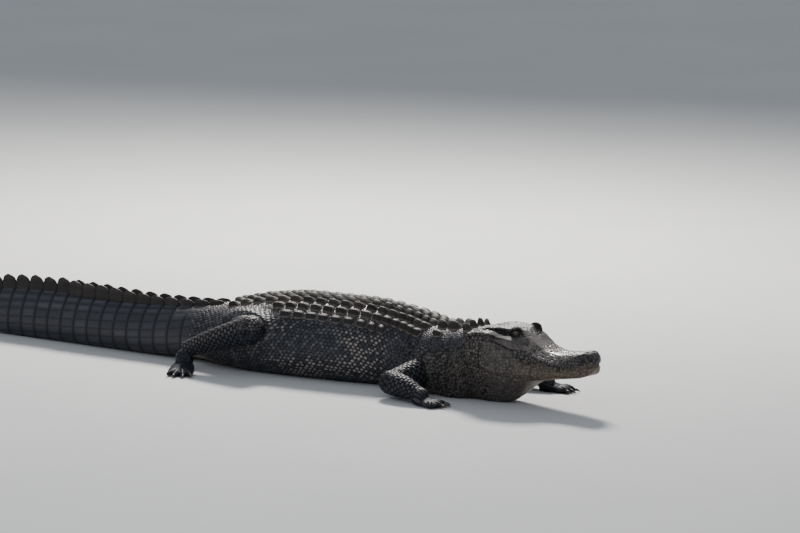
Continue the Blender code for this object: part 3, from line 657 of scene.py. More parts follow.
def body_relief():
    """Over the whole grid: height of the scales, a number for each, their depth, and masks of the zones."""
    s, side, long = S_GRID, np.abs(ARCS), LONG
    rows = row_count(s)
    girth = np.repeat(GIRTH_HALF, AROUND, axis=1)
    tail = over(s, 1.19, 0.06)
    drift = 0.5 * grain(long / 0.06, side / 0.05, 4)
    flank_at = (long / FLANK_SCALE[0] + 0.4 * drift, side / FLANK_SCALE[1] + drift)
    flank, flank_pick, flank_near = cells(*flank_at, 0.30, 3)
    fine, fine_pick, _ = cells(long / FINE_SCALE[0], side / FINE_SCALE[1], 0.5, 9)
    belly, belly_pick, _ = bricks(rows * 1.5, (girth - side) / BELLY_WIDE, 0.10, 5)
    block, block_pick, block_mid = bricks(rows, side / BLOCK_WIDE + 0.15, 0.26, 6)
    throat, throat_pick, _ = NECK_SCALES
    keel = bell(block_mid, 0.14) * under(side, 0.075, 0.03)
    ring = smooth(np.minimum(rows % 1, 1 - rows % 1) / 0.16)
    block = np.minimum(0.62 + 0.38 * block, 0.30 + 0.70 * ring) + 0.30 * keel * ring
    to_belly = smooth((side - girth + 0.098) / 0.02) * over(s, 0.42, 0.06)
    to_neck = under(s, 0.62, 0.10)
    plated = smooth((COLUMN * 4.05 * plate_reach(s) - side) / 0.01) * (1 - tail)
    height = mixed(flank, throat, to_neck)
    height = mixed(height, fine, plated)
    height = mixed(height, belly, to_belly)
    height = mixed(height, block, tail)
    pick = np.where(to_neck > 0.5, throat_pick, flank_pick)
    pick = np.where(plated > 0.5, fine_pick, pick)
    pick = np.where(to_belly > 0.5, belly_pick, pick)
    pick = np.where(tail > 0.5, 0.35 + 0.30 * block_pick, pick)
    depth = mixed(FLANK_DEPTH, TAIL_DEPTH, tail) * (1 - 0.5 * to_belly) * np.clip(girth / 0.09, 0.15, 1)
    patchy = smooth((grain(long / 0.085, side / 0.050, 14) + 0.12) / 0.30)
    dots = under(flank_near, 0.31, 0.12) * (flank_pick > 0.30) * patchy * (0.35 + 0.65 * flank_pick)
    band = smooth((side - COLUMN * 4.3 * plate_reach(s)) / 0.01) * (1 - to_belly) * (1 - to_neck)
    ahead = under(s, 1.02, 0.14)
    pale = dots * band * mixed(0.10, 1.0, ahead) * (1 - tail)
    return height, pick, depth, pale, to_belly * (1 - tail), plated


def head_places():
    """Every point of the grid in the head's own frame: forward, left, up."""
    local = (RINGS - SHIFT - head_spot(0, 0, PIVOT_Z)) @ HEAD_AXES
    return local[..., 0], np.abs(local[..., 1]), local[..., 2] + PIVOT_Z


def ridge_along(x, z, line_x, line_z, width, start, end):
    """1 on a line drawn along the side of the head from start to end, falling to 0 at its width."""
    gap = z - curve(line_x, line_z, x)
    ends = smooth((x - start) / 0.015) * smooth((end - x) / 0.015)
    return bell(gap, width) * ends


# Lines on the side of the head: plate under the eye, jaw joint, ear flap and the fold above the jaw's edge.
LENS_X = [0.080, 0.100, 0.130, 0.150, 0.175, 0.195]
LENS_LOW = [0.106, 0.095, 0.081, 0.0775, 0.0815, 0.090]
LENS_HIGH = [0.110, 0.114, 0.113, 0.110, 0.101, 0.092]
JOINT_X, JOINT_Z = [-0.04, 0.0, 0.03, 0.06, 0.085], [0.098, 0.112, 0.1195, 0.1200, 0.113]
FLAP_X, FLAP_Z = [0.02, 0.11], [0.1285, 0.1300]
FOLD_X = [0.0, 0.04, 0.07, 0.095, 0.136, 0.20, 0.30]
FOLD_Z = [0.050, 0.030, 0.018, 0.010, 0.004, 0.004, 0.012]


def lens_plate(x, z):
    """The smooth plate under the eye, and the groove along its lower edge, both from 0 to 1."""
    low, high = curve(LENS_X, LENS_LOW, x), curve(LENS_X, LENS_HIGH, x)
    ends = over(x, 0.080, 0.012) * under(x, 0.200, 0.015)
    lens = smooth((z - low) / 0.0025) * smooth((high - z) / 0.006) * ends
    return lens, bell(z - low + 0.0022, 0.0024) * ends


def joint_ridge(x, z):
    return ridge_along(x, z, JOINT_X, JOINT_Z, 0.0045, -0.05, 0.088)


PLATE_RISE, PLATE_GROOVE, JOINT_RISE, JOINT_HOLLOW = 0.0022, 0.0020, 0.0030, 0.0020
BULGE_RISE, FOLD_DEPTH, FLAP_RISE, BROW_RISE, SEAM_DEPTH = 0.0014, 0.0024, 0.0024, 0.0016, 0.0008


def head_forms(x, left, z, up):
    """The plate under the eye, the ridges and the folds of the head, as heights in metres."""
    outer = over(left, 0.034, 0.012)
    lens, under_lens = lens_plate(x, z)
    joint = joint_ridge(x, z)
    hollow = ridge_along(x, z + 0.012, JOINT_X, JOINT_Z, 0.0055, -0.03, 0.080)
    fold = ridge_along(x, z, FOLD_X, FOLD_Z, 0.0030, 0.0, 0.26)
    bulge = ridge_along(x, z - 0.011, FOLD_X, FOLD_Z, 0.0080, 0.0, 0.26)
    flap = ridge_along(x, z, FLAP_X, FLAP_Z, 0.0028, 0.035, 0.112) * over(left, 0.045, 0.006)
    brow = bell(left - curve(HEAD_X, RIM_Y, x), 0.0042) * over(x, 0.13, 0.015)
    brow = brow * under(x, 0.215, 0.04) * over(up, 0.2, 0.3)
    seam = bell(left, 0.0035) * over(x, 0.15, 0.02) * under(x, 0.29, 0.02)
    return (
        outer * (PLATE_RISE * lens - PLATE_GROOVE * under_lens + JOINT_RISE * joint - JOINT_HOLLOW * hollow)
        + outer * (BULGE_RISE * bulge - FOLD_DEPTH * fold)
        + FLAP_RISE * flap + BROW_RISE * brow - SEAM_DEPTH * seam
    )


def head_relief(x, left, z, up):
    """Relief of the head: metres, height of scales, a number for each, how pale the top of the snout is as
    worn bone and painted highlight, and 1 on the lower jaw.
    """
    s, side = LONG, np.abs(ARCS)
    jaw = (COLUMN_OF[None, :] < LOW_COUNT) + np.zeros(s.shape)
    throat, throat_pick, _ = NECK_SCALES
    jaw_scales, jaw_pick, _ = cells_in_space(RINGS, JAW_SCALE, 0.8, 21)
    jaw_scales = 0.45 + 0.55 * jaw_scales
    cheek, cheek_pick, _ = cells_in_space(RINGS, CHEEK_SCALE, 0.8, 51)
    _, pit_pick, pit_near = cells(S_GRID / PIT_SCALE[0], side / PIT_SCALE[1], 0.9, 31)
    behind = under(x, 0.085, 0.05)
    bony = over(x, 0.115, 0.03) * over(up, 0.25, 0.3)
    rough = grain(S_GRID / 0.0060, side / 0.0042, 8) + 0.5 * grain(S_GRID / 0.0024, side / 0.0020, 3)
    pits = under(pit_near, 0.34, 0.16) * (pit_pick > 0.40)
    bone = 0.75 + 0.25 * rough - 0.9 * pits
    upper = mixed(mixed(cheek, bone, bony), cheek, under(x, 0.015, 0.02) * over(up, 0.3, 0.3))
    lower = mixed(jaw_scales, throat, behind)
    side_scales = mixed(upper, throat, under(x, 0.03, 0.03) * under(z, 0.105, 0.02))
    height = np.where(jaw > 0, lower, mixed(side_scales, 0.85 + 0.15 * rough, 0.8 * lens_plate(x, z)[0]))
    pick = np.where(jaw > 0, np.where(behind > 0.5, throat_pick, jaw_pick), cheek_pick)
    depth = HEAD_DEPTH + BONE_DEPTH * bony + THROAT_DEPTH * behind
    tip = smooth((SNOUT_END + 0.0015 - x) / 0.02)
    wrinkle = 0.0007 * np.abs(grain(S_GRID / 0.020, side / 0.007, 71)) * (1 - bony) * over(x, 0.02, 0.04)
    metres = ((height - 1) * depth - wrinkle) * tip + head_forms(x, left, z, up)
    # Paler up-facing top of the snout: worn bone with painted highlight.
    pale_lit_top = over(x, 0.145, 0.03) * under(x, 0.312, 0.03) * over(up, 0.35, 0.35)
    return metres, height, pick, PALE_LIT_SNOUT * pale_lit_top * (0.75 + 0.35 * rough) * (1 - 0.85 * pits), jaw


# Each fold of the neck: where along the animal, how deep and how wide.
NECK_FOLDS = (
    (0.372, 0.0022, 0.0030), (0.402, 0.0030, 0.0040), (0.447, 0.0036, 0.0055), (0.505, 0.0030, 0.0060),
)


def neck_folds(s, side):
    """Creases round the sides and throat of the neck."""
    total = 0.0
    for at, deep, wide in NECK_FOLDS:
        line = at + 0.006 * grain(side / 0.045, np.full(side.shape, at * 90), 81) - 0.03 * (side - 0.12)
        total = total + deep * bell(s - line, wide)
    return total * over(side, 0.060, 0.03)


# How much of the pale bone colour shows, from 0 to 1: worn bone with painted highlight on the snout; painted
# highlight on the skin between the back plates, the nape, the skull table and the jaw joint; the plate's own
# paler tone under the eye.
PALE_LIT_SNOUT, HIGHLIGHT_BACK, HIGHLIGHT_NAPE, HIGHLIGHT_TABLE, HIGHLIGHT_JOINT, WORN_PLATE = 0.85, 0.32, 0.10, 0.12, 0.15, 0.16


def relief():
    """The heights of the whole skin in metres, and its masks, as a dictionary of grids."""
    height, pick, depth, pale, belly, plated = body_relief()
    x, left, z = head_places()
    up = NORMALS[..., 2]
    head_metres, head_height, head_pick, snout_pale_and_lit, jaw = head_relief(x, left, z, up)
    side = np.abs(ARCS)
    on_head = smooth((HEAD_LENGTH - S_GRID + 0.02) / 0.02)
    below = under(z, 0.108, 0.02)
    brown = np.maximum(jaw, below) * on_head
    brown = np.maximum(brown, over(side, 0.085, 0.04) * under(S_GRID, 0.54, 0.15) * (1 - on_head))
    brown = np.where(on_head > 0.5, brown * (1 - 0.75 * over(x, 0.06, 0.06) * (1 - jaw)), brown)
    brown = np.maximum(brown, 0.6 * on_head)
    # Painted highlight on the up-facing skull table, the jaw joint ridge, the up-facing nape and the skin
    # between the back plates; the plate under the eye is a little paler in its own colour.
    table = HIGHLIGHT_TABLE * under(x, 0.135, 0.02) * over(up, 0.55, 0.3)
    ridge = joint_ridge(x, z) * under(x, 0.068, 0.02)
    table = np.maximum(table, HIGHLIGHT_JOINT * ridge * over(left, 0.045, 0.01))
    table = np.maximum(table, WORN_PLATE * lens_plate(x, z)[0] * over(x, 0.10, 0.02))
    nape = HIGHLIGHT_NAPE * under(S_GRID, 0.42, 0.04) * over(up, 0.35, 0.3)
    back = np.maximum(HIGHLIGHT_BACK * plated * over(S_GRID, 0.60, 0.06), nape)
    wear_and_highlight = mixed(back, np.maximum(snout_pale_and_lit, table), on_head)
    calm_pick = 0.38 + 0.30 * np.where(on_head > 0.5, head_pick, pick)
    metres = mixed((height - 1) * depth - neck_folds(S_GRID, side), head_metres, on_head)
    return {
        "metres": metres,
        "scale": mixed(height, head_height, on_head),
        "pick": mixed(pick, calm_pick, under(S_GRID, 0.60, 0.08)),
        "pale": pale * (1 - on_head),
        "belly": belly * (1 - on_head),
        "brown": brown,
        "yellow": jaw * on_head * over(x, 0.10, 0.09),
        "wear_and_highlight": wear_and_highlight,
    }


FILLET, FILLET_REACH, LEG_MARGIN = 0.011, 0.034, 0.09


def raised_at_legs(rings):
    """The skin drawn up round the root of each leg, so that leg and trunk run into one another."""
    lift = np.zeros(rings.shape[:2])
    for leg in LEGS.values():
        upper = leg_lines(leg)[0] + SHIFT
        radius = leg["upper"][0][0]
        low, high = upper.min(0) - LEG_MARGIN, upper.max(0) + LEG_MARGIN
        near = np.all((rings > low) & (rings < high), axis=2)
        spots = rings[near]
        gap = np.full(len(spots), FAR)
        for a, b in zip(upper[:-1], upper[1:], strict=True):
            way = b - a
            t = np.clip((spots - a) @ way / (way @ way), 0, 1)
            gap = np.minimum(gap, np.linalg.norm(spots - a - t[:, None] * way, axis=1))
        share = 1 - np.clip((gap - radius) / FILLET_REACH, 0, 1)
        lift[near] = np.maximum(lift[near], FILLET * share**2)
    return rings + NORMALS * lift[..., None]


def eye_node(side):
    return "eye_left" if side > 0 else "eye_right"


def eye_frame(spots, side):
    """Points in an eye's own axes: forward, outward and up from its middle."""
    return (spots - middle_of(eye_node(side))) @ HEAD_AXES * (1, side, 1)


SLIT_AT, SLIT_RADII = (0.002, 0.0012), (0.0102, 0.0044)
SUNK_RADIUS, LID_BACK, LID_RIM, UPPER_LID = 0.0112, -0.004, 0.0003, 0.0018


def shape_eyes(rings):
    """Raises the lids as a dome round each eye and sinks the skin behind the slit between them."""
    for side in (1, -1):
        local = eye_frame(rings, side)
        level = np.linalg.norm(local / np.array(LID_RADII), axis=2)
        inside = (level < 1.0) & (local[..., 1] > LID_BACK)
        lifted = local / np.maximum(level, 0.05)[..., None]
        swell = np.where(inside[..., None], lifted, local)
        slit = ((local[..., [0, 2]] - SLIT_AT) / np.array(SLIT_RADII)) ** 2
        slit = slit[..., 0] + slit[..., 1]
        open_here = (slit < 1) & (local[..., 1] > 0.001) & (level < 1.5)
        sunk = local * (SUNK_RADIUS / np.maximum(np.linalg.norm(local, axis=2), 1e-6))[..., None]
        rim = bell(np.sqrt(slit) - 1.25, 0.16) * (level < 1.3) * (local[..., 1] > 0.003)
        high = smooth((local[..., 2] - 0.004) / 0.004)
        lid = (LID_RIM + UPPER_LID * high) * rim
        swell = swell + np.array([0, 1.0, 0.1]) * lid[..., None]
        swell = np.where(open_here[..., None], sunk, swell)
        moved = (swell * (1, side, 1)) @ HEAD_AXES.T + middle_of(eye_node(side))
        touched = (level < 1.5) & (local[..., 1] > LID_BACK)
        rings = np.where(touched[..., None], moved, rings)
    return rings


NOSTRIL_RADII, EAR_RADII = (0.0052, 0.0034, 0.008), (0.022, 0.012, 0.0018)
NOSTRIL_DEPTH, EAR_DEPTH = 0.006, 0.004


def shape_nostrils_and_ears(rings, normals):
    """Sinks the skin at nostrils and ear slits."""
    for side in (1, -1):
        openings = ((NOSTRIL_AT, NOSTRIL_RADII, NOSTRIL_DEPTH), (EAR_AT, EAR_RADII, EAR_DEPTH))
        for (ahead, left, up), radii, depth in openings:
            centre = head_spot(ahead, side * left, up) + SHIFT
            level = np.linalg.norm((rings - centre) @ HEAD_AXES / radii, axis=2)
            rings = rings - normals * (depth * under(level, 1.15, 0.4))[..., None]
    return rings


def near_eyes(rings):
    """1 at the eyes and their lids, falling to 0 a little way out."""
    near = np.zeros(rings.shape[:2])
    for side in (1, -1):
        gap = np.linalg.norm(eye_frame(rings, side), axis=2)
        near = np.maximum(near, 1 - over(gap, 0.016, 0.006))
    return near


FLOOR_GAP = 0.0002
# Patches of painted shade on the side of the head, at the ear slit and on a strip along the side: where each
# begins and ends in x and z, and begins in left, each with the width of its soft edge.
EAR_SLIT_SHADE = ((0.066, 0.015), (0.118, 0.02), (0.1085, 0.004), (0.1255, 0.002), (0.045, 0.008))
SHADED_STRIP = ((0.070, 0.02), (0.150, 0.03), (0.104, 0.004), (0.124, 0.006), (0.030, 0.008))
# How strong the painted shade is at the lids, the ear slit, the strip and the lips.
LID_SHADE, SLIT_SHADE, STRIP_SHADE, LIP_SHADE, LIP_COLUMNS = 0.65, 0.75, 0.7, 0.8, 1.6
LID_SMOOTH = 0.8


def side_patch(x, z, left, edges):
    """1 in a patch on the side of the head, falling to 0 over its soft edges."""
    rear, front, low, high, inner = edges
    return over(x, *rear) * under(x, *front) * over(z, *low) * under(z, *high) * over(left, *inner)


def finished_rings():
    """The skin with all its relief, and its masks; the one called lids is painted shade round the eyes, at
    the ear slits, on a strip along the side of the head and along the lips.
    """
    masks = relief()
    rings = raised_at_legs(shape_eyes(RINGS))
    rings = shape_nostrils_and_ears(rings, NORMALS)
    x, left, z = head_places()
    lids = near_eyes(rings)
    rings = rings + NORMALS * (masks["metres"] * (1 - LID_SMOOTH * lids) * (1 - CROWDED))[..., None]
    rings[:, :, 2] = np.maximum(rings[:, :, 2], FLOOR_GAP)
    ear = side_patch(x, z, left, EAR_SLIT_SHADE)
    strip = side_patch(x, z, left, SHADED_STRIP)
    lips = bell(COLUMN_OF[None, :] - LOW_COUNT, LIP_COLUMNS) * over(x, 0.085, 0.03)
    dark = [LID_SHADE * lids, SLIT_SHADE * ear, STRIP_SHADE * strip, LIP_SHADE * lips]
    masks["lids"] = np.maximum.reduce(dark)
    return rings, masks


# Meshes.

def linked(name, data):
    obj = bpy.data.objects.new(name, data)
    bpy.context.scene.collection.objects.link(obj)
    return obj


def new_mesh(name, points, faces, material, masks=None, uv=None, normals=None):
    """An object from arrays: points, faces, masks on the points, and an unwrap by point or by corner."""
    points = np.asarray(points, float)
    mesh = bpy.data.meshes.new(name)
    mesh.from_pydata(points.tolist(), [], faces.tolist() if hasattr(faces, "tolist") else faces)
    for key, values in (masks or {}).items():
        layer = mesh.attributes.new(key, "FLOAT", "POINT")
        layer.data.foreach_set("value", np.asarray(values, np.float32).ravel())
    if uv is not None:
        layer = mesh.uv_layers.new(name="OFBake")
        flat = np.asarray(uv, np.float32)
        if len(flat) != len(mesh.loops):
            corners = np.zeros(len(mesh.loops), np.int32)
            mesh.loops.foreach_get("vertex_index", corners)
            flat = flat[corners]
        layer.data.foreach_set("uv", flat.ravel())
    mesh.shade_smooth()
    if normals is not None:
        mesh.normals_split_custom_set_from_vertices(np.asarray(normals, float).tolist())
    mesh.materials.append(material)
    return linked(name, mesh)


def place(obj, slot, *nodes):
    """Every piece rides on the one body and may stand for nodes of the solids; the finish slot it is given is
    not used.
    """
    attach(obj, "root")
    if nodes:
        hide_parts(*nodes)


def grid_faces(rows, columns, closed=True):
    r = np.arange(rows - 1)[:, None]
    c = np.arange(columns if closed else columns - 1)[None, :]
    d = (c + 1) % columns
    faces = np.stack([r * columns + c, (r + 1) * columns + c, (r + 1) * columns + d, r * columns + d], -1)
    return faces.reshape(-1, 4)


def capped_faces(rows, sides):
    """Faces of a tube of rings with both ends closed."""
    faces = grid_faces(rows, sides).tolist()
    faces.append(list(range(sides)))
    faces.append(list(range((rows - 1) * sides, rows * sides))[::-1])
    return faces


def stacked(pieces):
    """Points and faces of many pieces as one pair."""
    points, faces, start = [], [], 0
    for spots, corners, *_ in pieces:
        points.append(spots)
        faces += [[start + c for c in face] for face in corners]
        start += len(spots)
    return np.vstack(points), faces


def merged(name, pieces, material):
    """One object from many pieces, each given as points, faces, masks and a flat unwrap."""
    masks = {key: np.concatenate([piece[2][key] for piece in pieces]) for key in pieces[0][2]}
    return new_mesh(name, *stacked(pieces), material, masks, np.vstack([piece[3] for piece in pieces]))


def grid_uv(rows, columns):
    """Corner by corner unwrap of a closed ring grid, cut along the belly."""
    r = np.arange(rows - 1)[:, None] + np.zeros((1, columns))
    c = np.arange(columns)[None, :] + np.zeros((rows - 1, 1))
    us = np.stack([r, r + 1, r + 1, r], -1) / (rows - 1)
    vs = np.stack([c, c, c + 1, c + 1], -1) / columns
    return np.stack([us, vs], -1).reshape(-1, 2) * 0.98 + 0.01


CAPPED, CAP_UV = ("head", "tail_rear"), 0.005


def build_skin(material):
    """The skin from snout to tail, cut where the solids meet, with shared points and normals at the cuts."""
    rings, masks = finished_rings()
    normals = normals_of(rings)
    if np.mean((normals * NORMALS).sum(2)) < 0:
        normals = -normals
    cuts = [int(np.searchsorted(RING_S, at - 1e-9)) for at in PARTS_AT.values()] + [len(RING_S) - 1]
    for name, first, last in zip(PARTS_AT, cuts[:-1], cuts[1:], strict=True):
        rows, count = slice(first, last + 1), last + 1 - first
        faces, uv = grid_faces(count, AROUND).tolist(), grid_uv(count, AROUND)
        if name in CAPPED:
            end = range(AROUND) if first == 0 else range(count * AROUND - 1, (count - 1) * AROUND - 1, -1)
            faces.append(list(end))
            uv = np.vstack([uv, np.full((AROUND, 2), CAP_UV)])
        piece_masks = {key: value[rows] for key, value in masks.items() if key != "metres"}
        points, out = rings[rows].reshape(-1, 3), normals[rows].reshape(-1, 3)
        obj = new_mesh(name + "_skin", points, faces, material, piece_masks, uv, out)
        place(obj, "skin", name, *(["lower_jaw"] if name == "head" else []))


# Scutes.

PLATE_LONG, PLATE_WIDE = 11, 11
PLATE_BASE, PLATE_EDGE, PLATE_ROUGH, PLATE_SUNK, TALL_PLATE = 0.0010, 0.0012, 0.0005, 0.0035, 0.015


def plate_grid():
    """Unit grid of a plate, t from rear to front and w from right to left, edge rows folded under."""
    t = np.array([-0.5, -0.5, -0.44, -0.33, -0.18, 0.0, 0.17, 0.32, 0.44, 0.5, 0.5])
    w = np.array([-0.5, -0.5, -0.40, -0.24, -0.09, 0.0, 0.09, 0.24, 0.40, 0.5, 0.5])
    return np.meshgrid(t, w, indexing="ij")


def plate_points(s, arc, size, spin):
    """One keeled scute that follows the skin, rounded at its corners and highest behind its middle."""
    length, width, height = size
    t, w = plate_grid()
    corner = 1 - 0.27 * (2 * np.abs(w)) ** 2.4 * (2 * np.abs(t)) ** 2.4
    t_in, w_in = t * corner, w * corner
    along = t_in * math.cos(spin) - w_in * math.sin(spin) * width / length
    across = w_in + t_in * math.sin(spin) * length / width
    spot, out = skin_at(s - along * length, arc + across * width)
    rise = under(t, 0.54, 0.50) * (1 - 0.45 * under(t, -0.40, 0.10))
    tall = height > TALL_PLATE
    ridge = np.exp(-((np.abs(w) / 0.26) ** 2.0)) if tall else np.exp(-((np.abs(w) / 0.13) ** 1.1))
    slope = ridge if tall else 0.10 + 0.90 * np.clip(1 - 2 * np.abs(w), 0, 1) ** 0.85
    rim = np.minimum(smooth((0.5 - np.abs(w)) / 0.07 + 0.35), smooth((0.5 - np.abs(t)) / 0.06 + 0.35))
    level = PLATE_BASE + PLATE_EDGE * rim + height * rise * slope * rim
    level = level + PLATE_ROUGH * grain(t * 9 + s * 60, w * 9 + arc * 60, 2) * rim
    buried = np.ones(t.shape, bool)
    buried[1:-1, 1:-1] = False
    level = np.where(buried, -PLATE_SUNK, level)
    return spot + out * level[..., None], rise * ridge * rim, rim


def join_plates(name, plates, material):
    """Many plates as one mesh: each a grid with a flat underside."""
    count = PLATE_LONG * PLATE_WIDE
    numbers = np.arange(count).reshape(PLATE_LONG, PLATE_WIDE)
    border = [*numbers[0], *numbers[1:, -1], *numbers[-1, -2::-1], *numbers[-2:0:-1, 0]]
    faces = grid_faces(PLATE_LONG, PLATE_WIDE, closed=False).tolist() + [[int(b) for b in border]]
    t, w = plate_grid()
    pieces = []
    for s, arc, size in plates:
        grown = [v * RNG.uniform(0.91, 1.0) for v in PLATE_SIZES[size]]
        spots, ridge, edge = plate_points(s, arc, grown, RNG.uniform(-0.05, 0.05))
        low = size == "low"
        masks = {
            "keel": ridge.ravel(),
            "rim": edge.ravel(),
            "pick": np.full(count, RNG.random() * (0.35 if low else 1.0)),
            "low": np.full(count, float(low)),
        }
        uv = np.stack([(s - t * grown[0]) / TOTAL, 0.5 + (arc + w * grown[1]) / 1.2], -1).reshape(-1, 2)
        pieces.append((spots.reshape(-1, 3), faces, masks, uv))
    place(merged(name, pieces, material), "skin")


def trunk_plates():
    """Place and size of each plate of the back: four columns a side, fewer at both ends."""
    made = []
    for row, s in enumerate(BACK_ROWS):
        columns = (0.5, 1.5, 2.5, 3.5)[: 4 if 4 <= row <= 12 else (3 if row <= 13 else 2)]
        spread_out = COLUMN * (0.90 + 0.10 * min(row / 5, 1))
        for column in columns:
            size = "high" if column < 2 else ("middle" if column < 3 else "low")
            for side in (1, -1):
                made.append((s, side * column * spread_out, size))
    return made


def neck_plates():
    made = [(s, side * 0.024, "nuchal") for s in NECK_ROWS[1:] for side in (1, -1)]
    made += [(0.444, side * 0.062, "small_nuchal") for side in (1, -1)]
    made += [(0.370, side * across, "occipital") for side in (1, -1) for across in (0.015, 0.043)]
    return made


FIN_AROUND, FIN_UP = 16, 11
FIN_FRONT = ([-0.5, 0.42, 0.72, 0.90, 1.0], [0.52, 0.52, 0.43, 0.27, 0.00])
FIN_REAR = ([-0.5, 0.50, 0.80, 0.94, 1.0], [-0.52, -0.515, -0.46, -0.38, -0.24])
FIN_THICK, FIN_EDGE, FIN_SUNK, FIN_BOW = 0.0070, 0.0011, 0.007, 0.05


def fin_points(s, arc, height, lean, length):
    """One upright crest scute: a rounded lobe, steep in front, thick at the root and thin at its rim."""
    spot = skin_at(s, arc)[0]
    ahead = unit(skin_at(s - 0.004, arc)[0] - skin_at(s + 0.004, arc)[0])
    up = unit(np.array([0, 0, 1.0]) + unit(np.cross((0, 0, 1.0), ahead)) * lean)
    left = np.cross(up, ahead)
    level = (1 - (1 - np.linspace(0, 1, FIN_UP)) ** 1.6)[:, None]
    turn = np.linspace(0, 2 * math.pi, FIN_AROUND, endpoint=False)[None, :]
    front, rear = curve(*FIN_FRONT, level) * length, curve(*FIN_REAR, level) * length
    reach, middle = (front - rear) / 2, (front + rear) / 2
    thick = FIN_THICK * (1 - level) ** 0.7 + FIN_EDGE
    x = middle + reach * np.sign(np.cos(turn)) * np.abs(np.cos(turn)) ** 0.6
    y = thick * np.sign(np.sin(turn)) * np.abs(np.sin(turn)) ** 0.8
    bow = FIN_BOW * height * (1 - np.abs(np.cos(turn)) ** 2) * level
    z = height * level * 0.98 + bow - FIN_SUNK * (1 - level)
    points = spot + ahead * x[..., None] + left * y[..., None] + up * (z + 0 * x)[..., None]
    return points, np.repeat(level, FIN_AROUND, axis=1)


def build_crest(material):
    """The upright lobes of the tail, in two rows that run together into one."""
    faces, count = capped_faces(FIN_UP, FIN_AROUND), FIN_UP * FIN_AROUND
    turn = np.tile(np.arange(FIN_AROUND) / FIN_AROUND, FIN_UP)
    pieces = []
    for s in WHORLS:
        height = float(curve(CREST_S, CREST_HEIGHT, s))
        apart = float(curve(PAIR_S, PAIR_APART, s))
        length = crest_step(s) * CREST_FILL
        for side in (0,) if s > SINGLE_FROM else (1, -1):
            grown = height * RNG.uniform(0.95, 1.05)
            spots, level = fin_points(s, side * apart, grown, side * PAIR_LEAN, length)
            level = level.ravel()
            pick, ones = np.full(count, RNG.random()), np.ones(count)
            masks = {"keel": level, "rim": ones, "pick": pick, "fin": ones}
            uv = np.stack([(s + (turn - 0.5) * length) / TOTAL, 0.3 + side * 0.2 + 0.08 * level], 1)
            pieces.append((spots.reshape(-1, 3), faces, masks, uv))
    place(merged("tail_crest", pieces, material), "skin")


# Legs: tubes for the bones' flesh, joined into one skin, smoothed, then scaled.

def tube_rings(path, radii, sides):
    """Rings of points round a path, each with a radius across and one up."""
    path = np.asarray(path, float)
    rings = []
    for i, spot in enumerate(path):
        way = unit(path[min(i + 1, len(path) - 1)] - path[max(i - 1, 0)])
        across = np.cross((0, 0, 1), way)
        across = across / max(np.linalg.norm(across), 1e-9)
        up = np.cross(way, across)
        turn = np.linspace(0, 2 * math.pi, sides, endpoint=False)[:, None]
        rings.append(spot + across * radii[i][0] * np.cos(turn) + up * radii[i][1] * np.sin(turn))
    return np.array(rings)


def tube_mesh(path, radii, sides=24):
    rings = tube_rings(path, radii, sides)
    return rings.reshape(-1, 3), capped_faces(len(rings), sides)


def ball_mesh(centre, radii, rows=12, sides=20):
    tilt = np.linspace(0.04, math.pi - 0.04, rows)[:, None]
    turn = np.linspace(0, 2 * math.pi, sides, endpoint=False)[None, :]
    sphere = np.stack([np.sin(tilt) * np.cos(turn), np.sin(tilt) * np.sin(turn), np.cos(tilt) + 0 * turn], -1)
    rings = np.asarray(centre) + sphere * radii
    return rings.reshape(-1, 3), [face[::-1] for face in capped_faces(rows, sides)]


def foot_axes(leg):
    """The ways forward and left of a foot, on the level."""
    forward = unit(np.array([*leg["forward"], 0.0]))
    return forward, np.cross((0, 0, 1), forward)


def toe_paths(leg, wrist):
    """The line of each toe from the palm to its tip, and the way it points."""
    length, wide, _ = leg["palm"]
    forward, side = foot_axes(leg)
    rear = np.array([wrist[0], wrist[1], 0.0]) - forward * HEEL
    front = rear + forward * (HEEL + length) * TOES_AT
    made = []
    for i, degrees in enumerate(leg["fan"]):
        angle = math.radians(degrees)
        way = forward * math.cos(angle) - side * math.sin(angle)
        base = front - side * math.sin(angle) * wide * TOES_APART - way * TOE_ROOT
        reach = leg["toe"] * (1.0 - 0.12 * abs(i - (len(leg["fan"]) - 1) / 2))
        made.append((np.array([base + way * reach * t + (0, 0, z) for t, z, *_ in TOE_RINGS]), way))
    return made


def leg_lines(leg):
    """The middle lines of upper and lower leg, with knee and wrist."""
    top, joint, wrist = (np.array(p, float) for p in leg["joints"])
    upper_way, lower_way = unit(joint - top), unit(wrist - joint)
    upper = spline([top - upper_way * 0.02, (top + joint) / 2, joint - upper_way * 0.012], LIMB_PARTS)
    lower = spline([joint + lower_way * 0.004, (joint + wrist) / 2 + (0, 0, 0.003), wrist], LIMB_PARTS)
    return upper, lower, joint, wrist


FLARE, FLARE_REACH, ELBOW = 0.10, 0.035, 1.04
LIMB_PARTS, FINE_PARTS = 6, 4
TOE_SIDES, CLAW_SIDES = 14, 12
CLAW_SUNK, CLAW_SLIM, CLAW_GAP = 0.004, 0.82, 0.0003


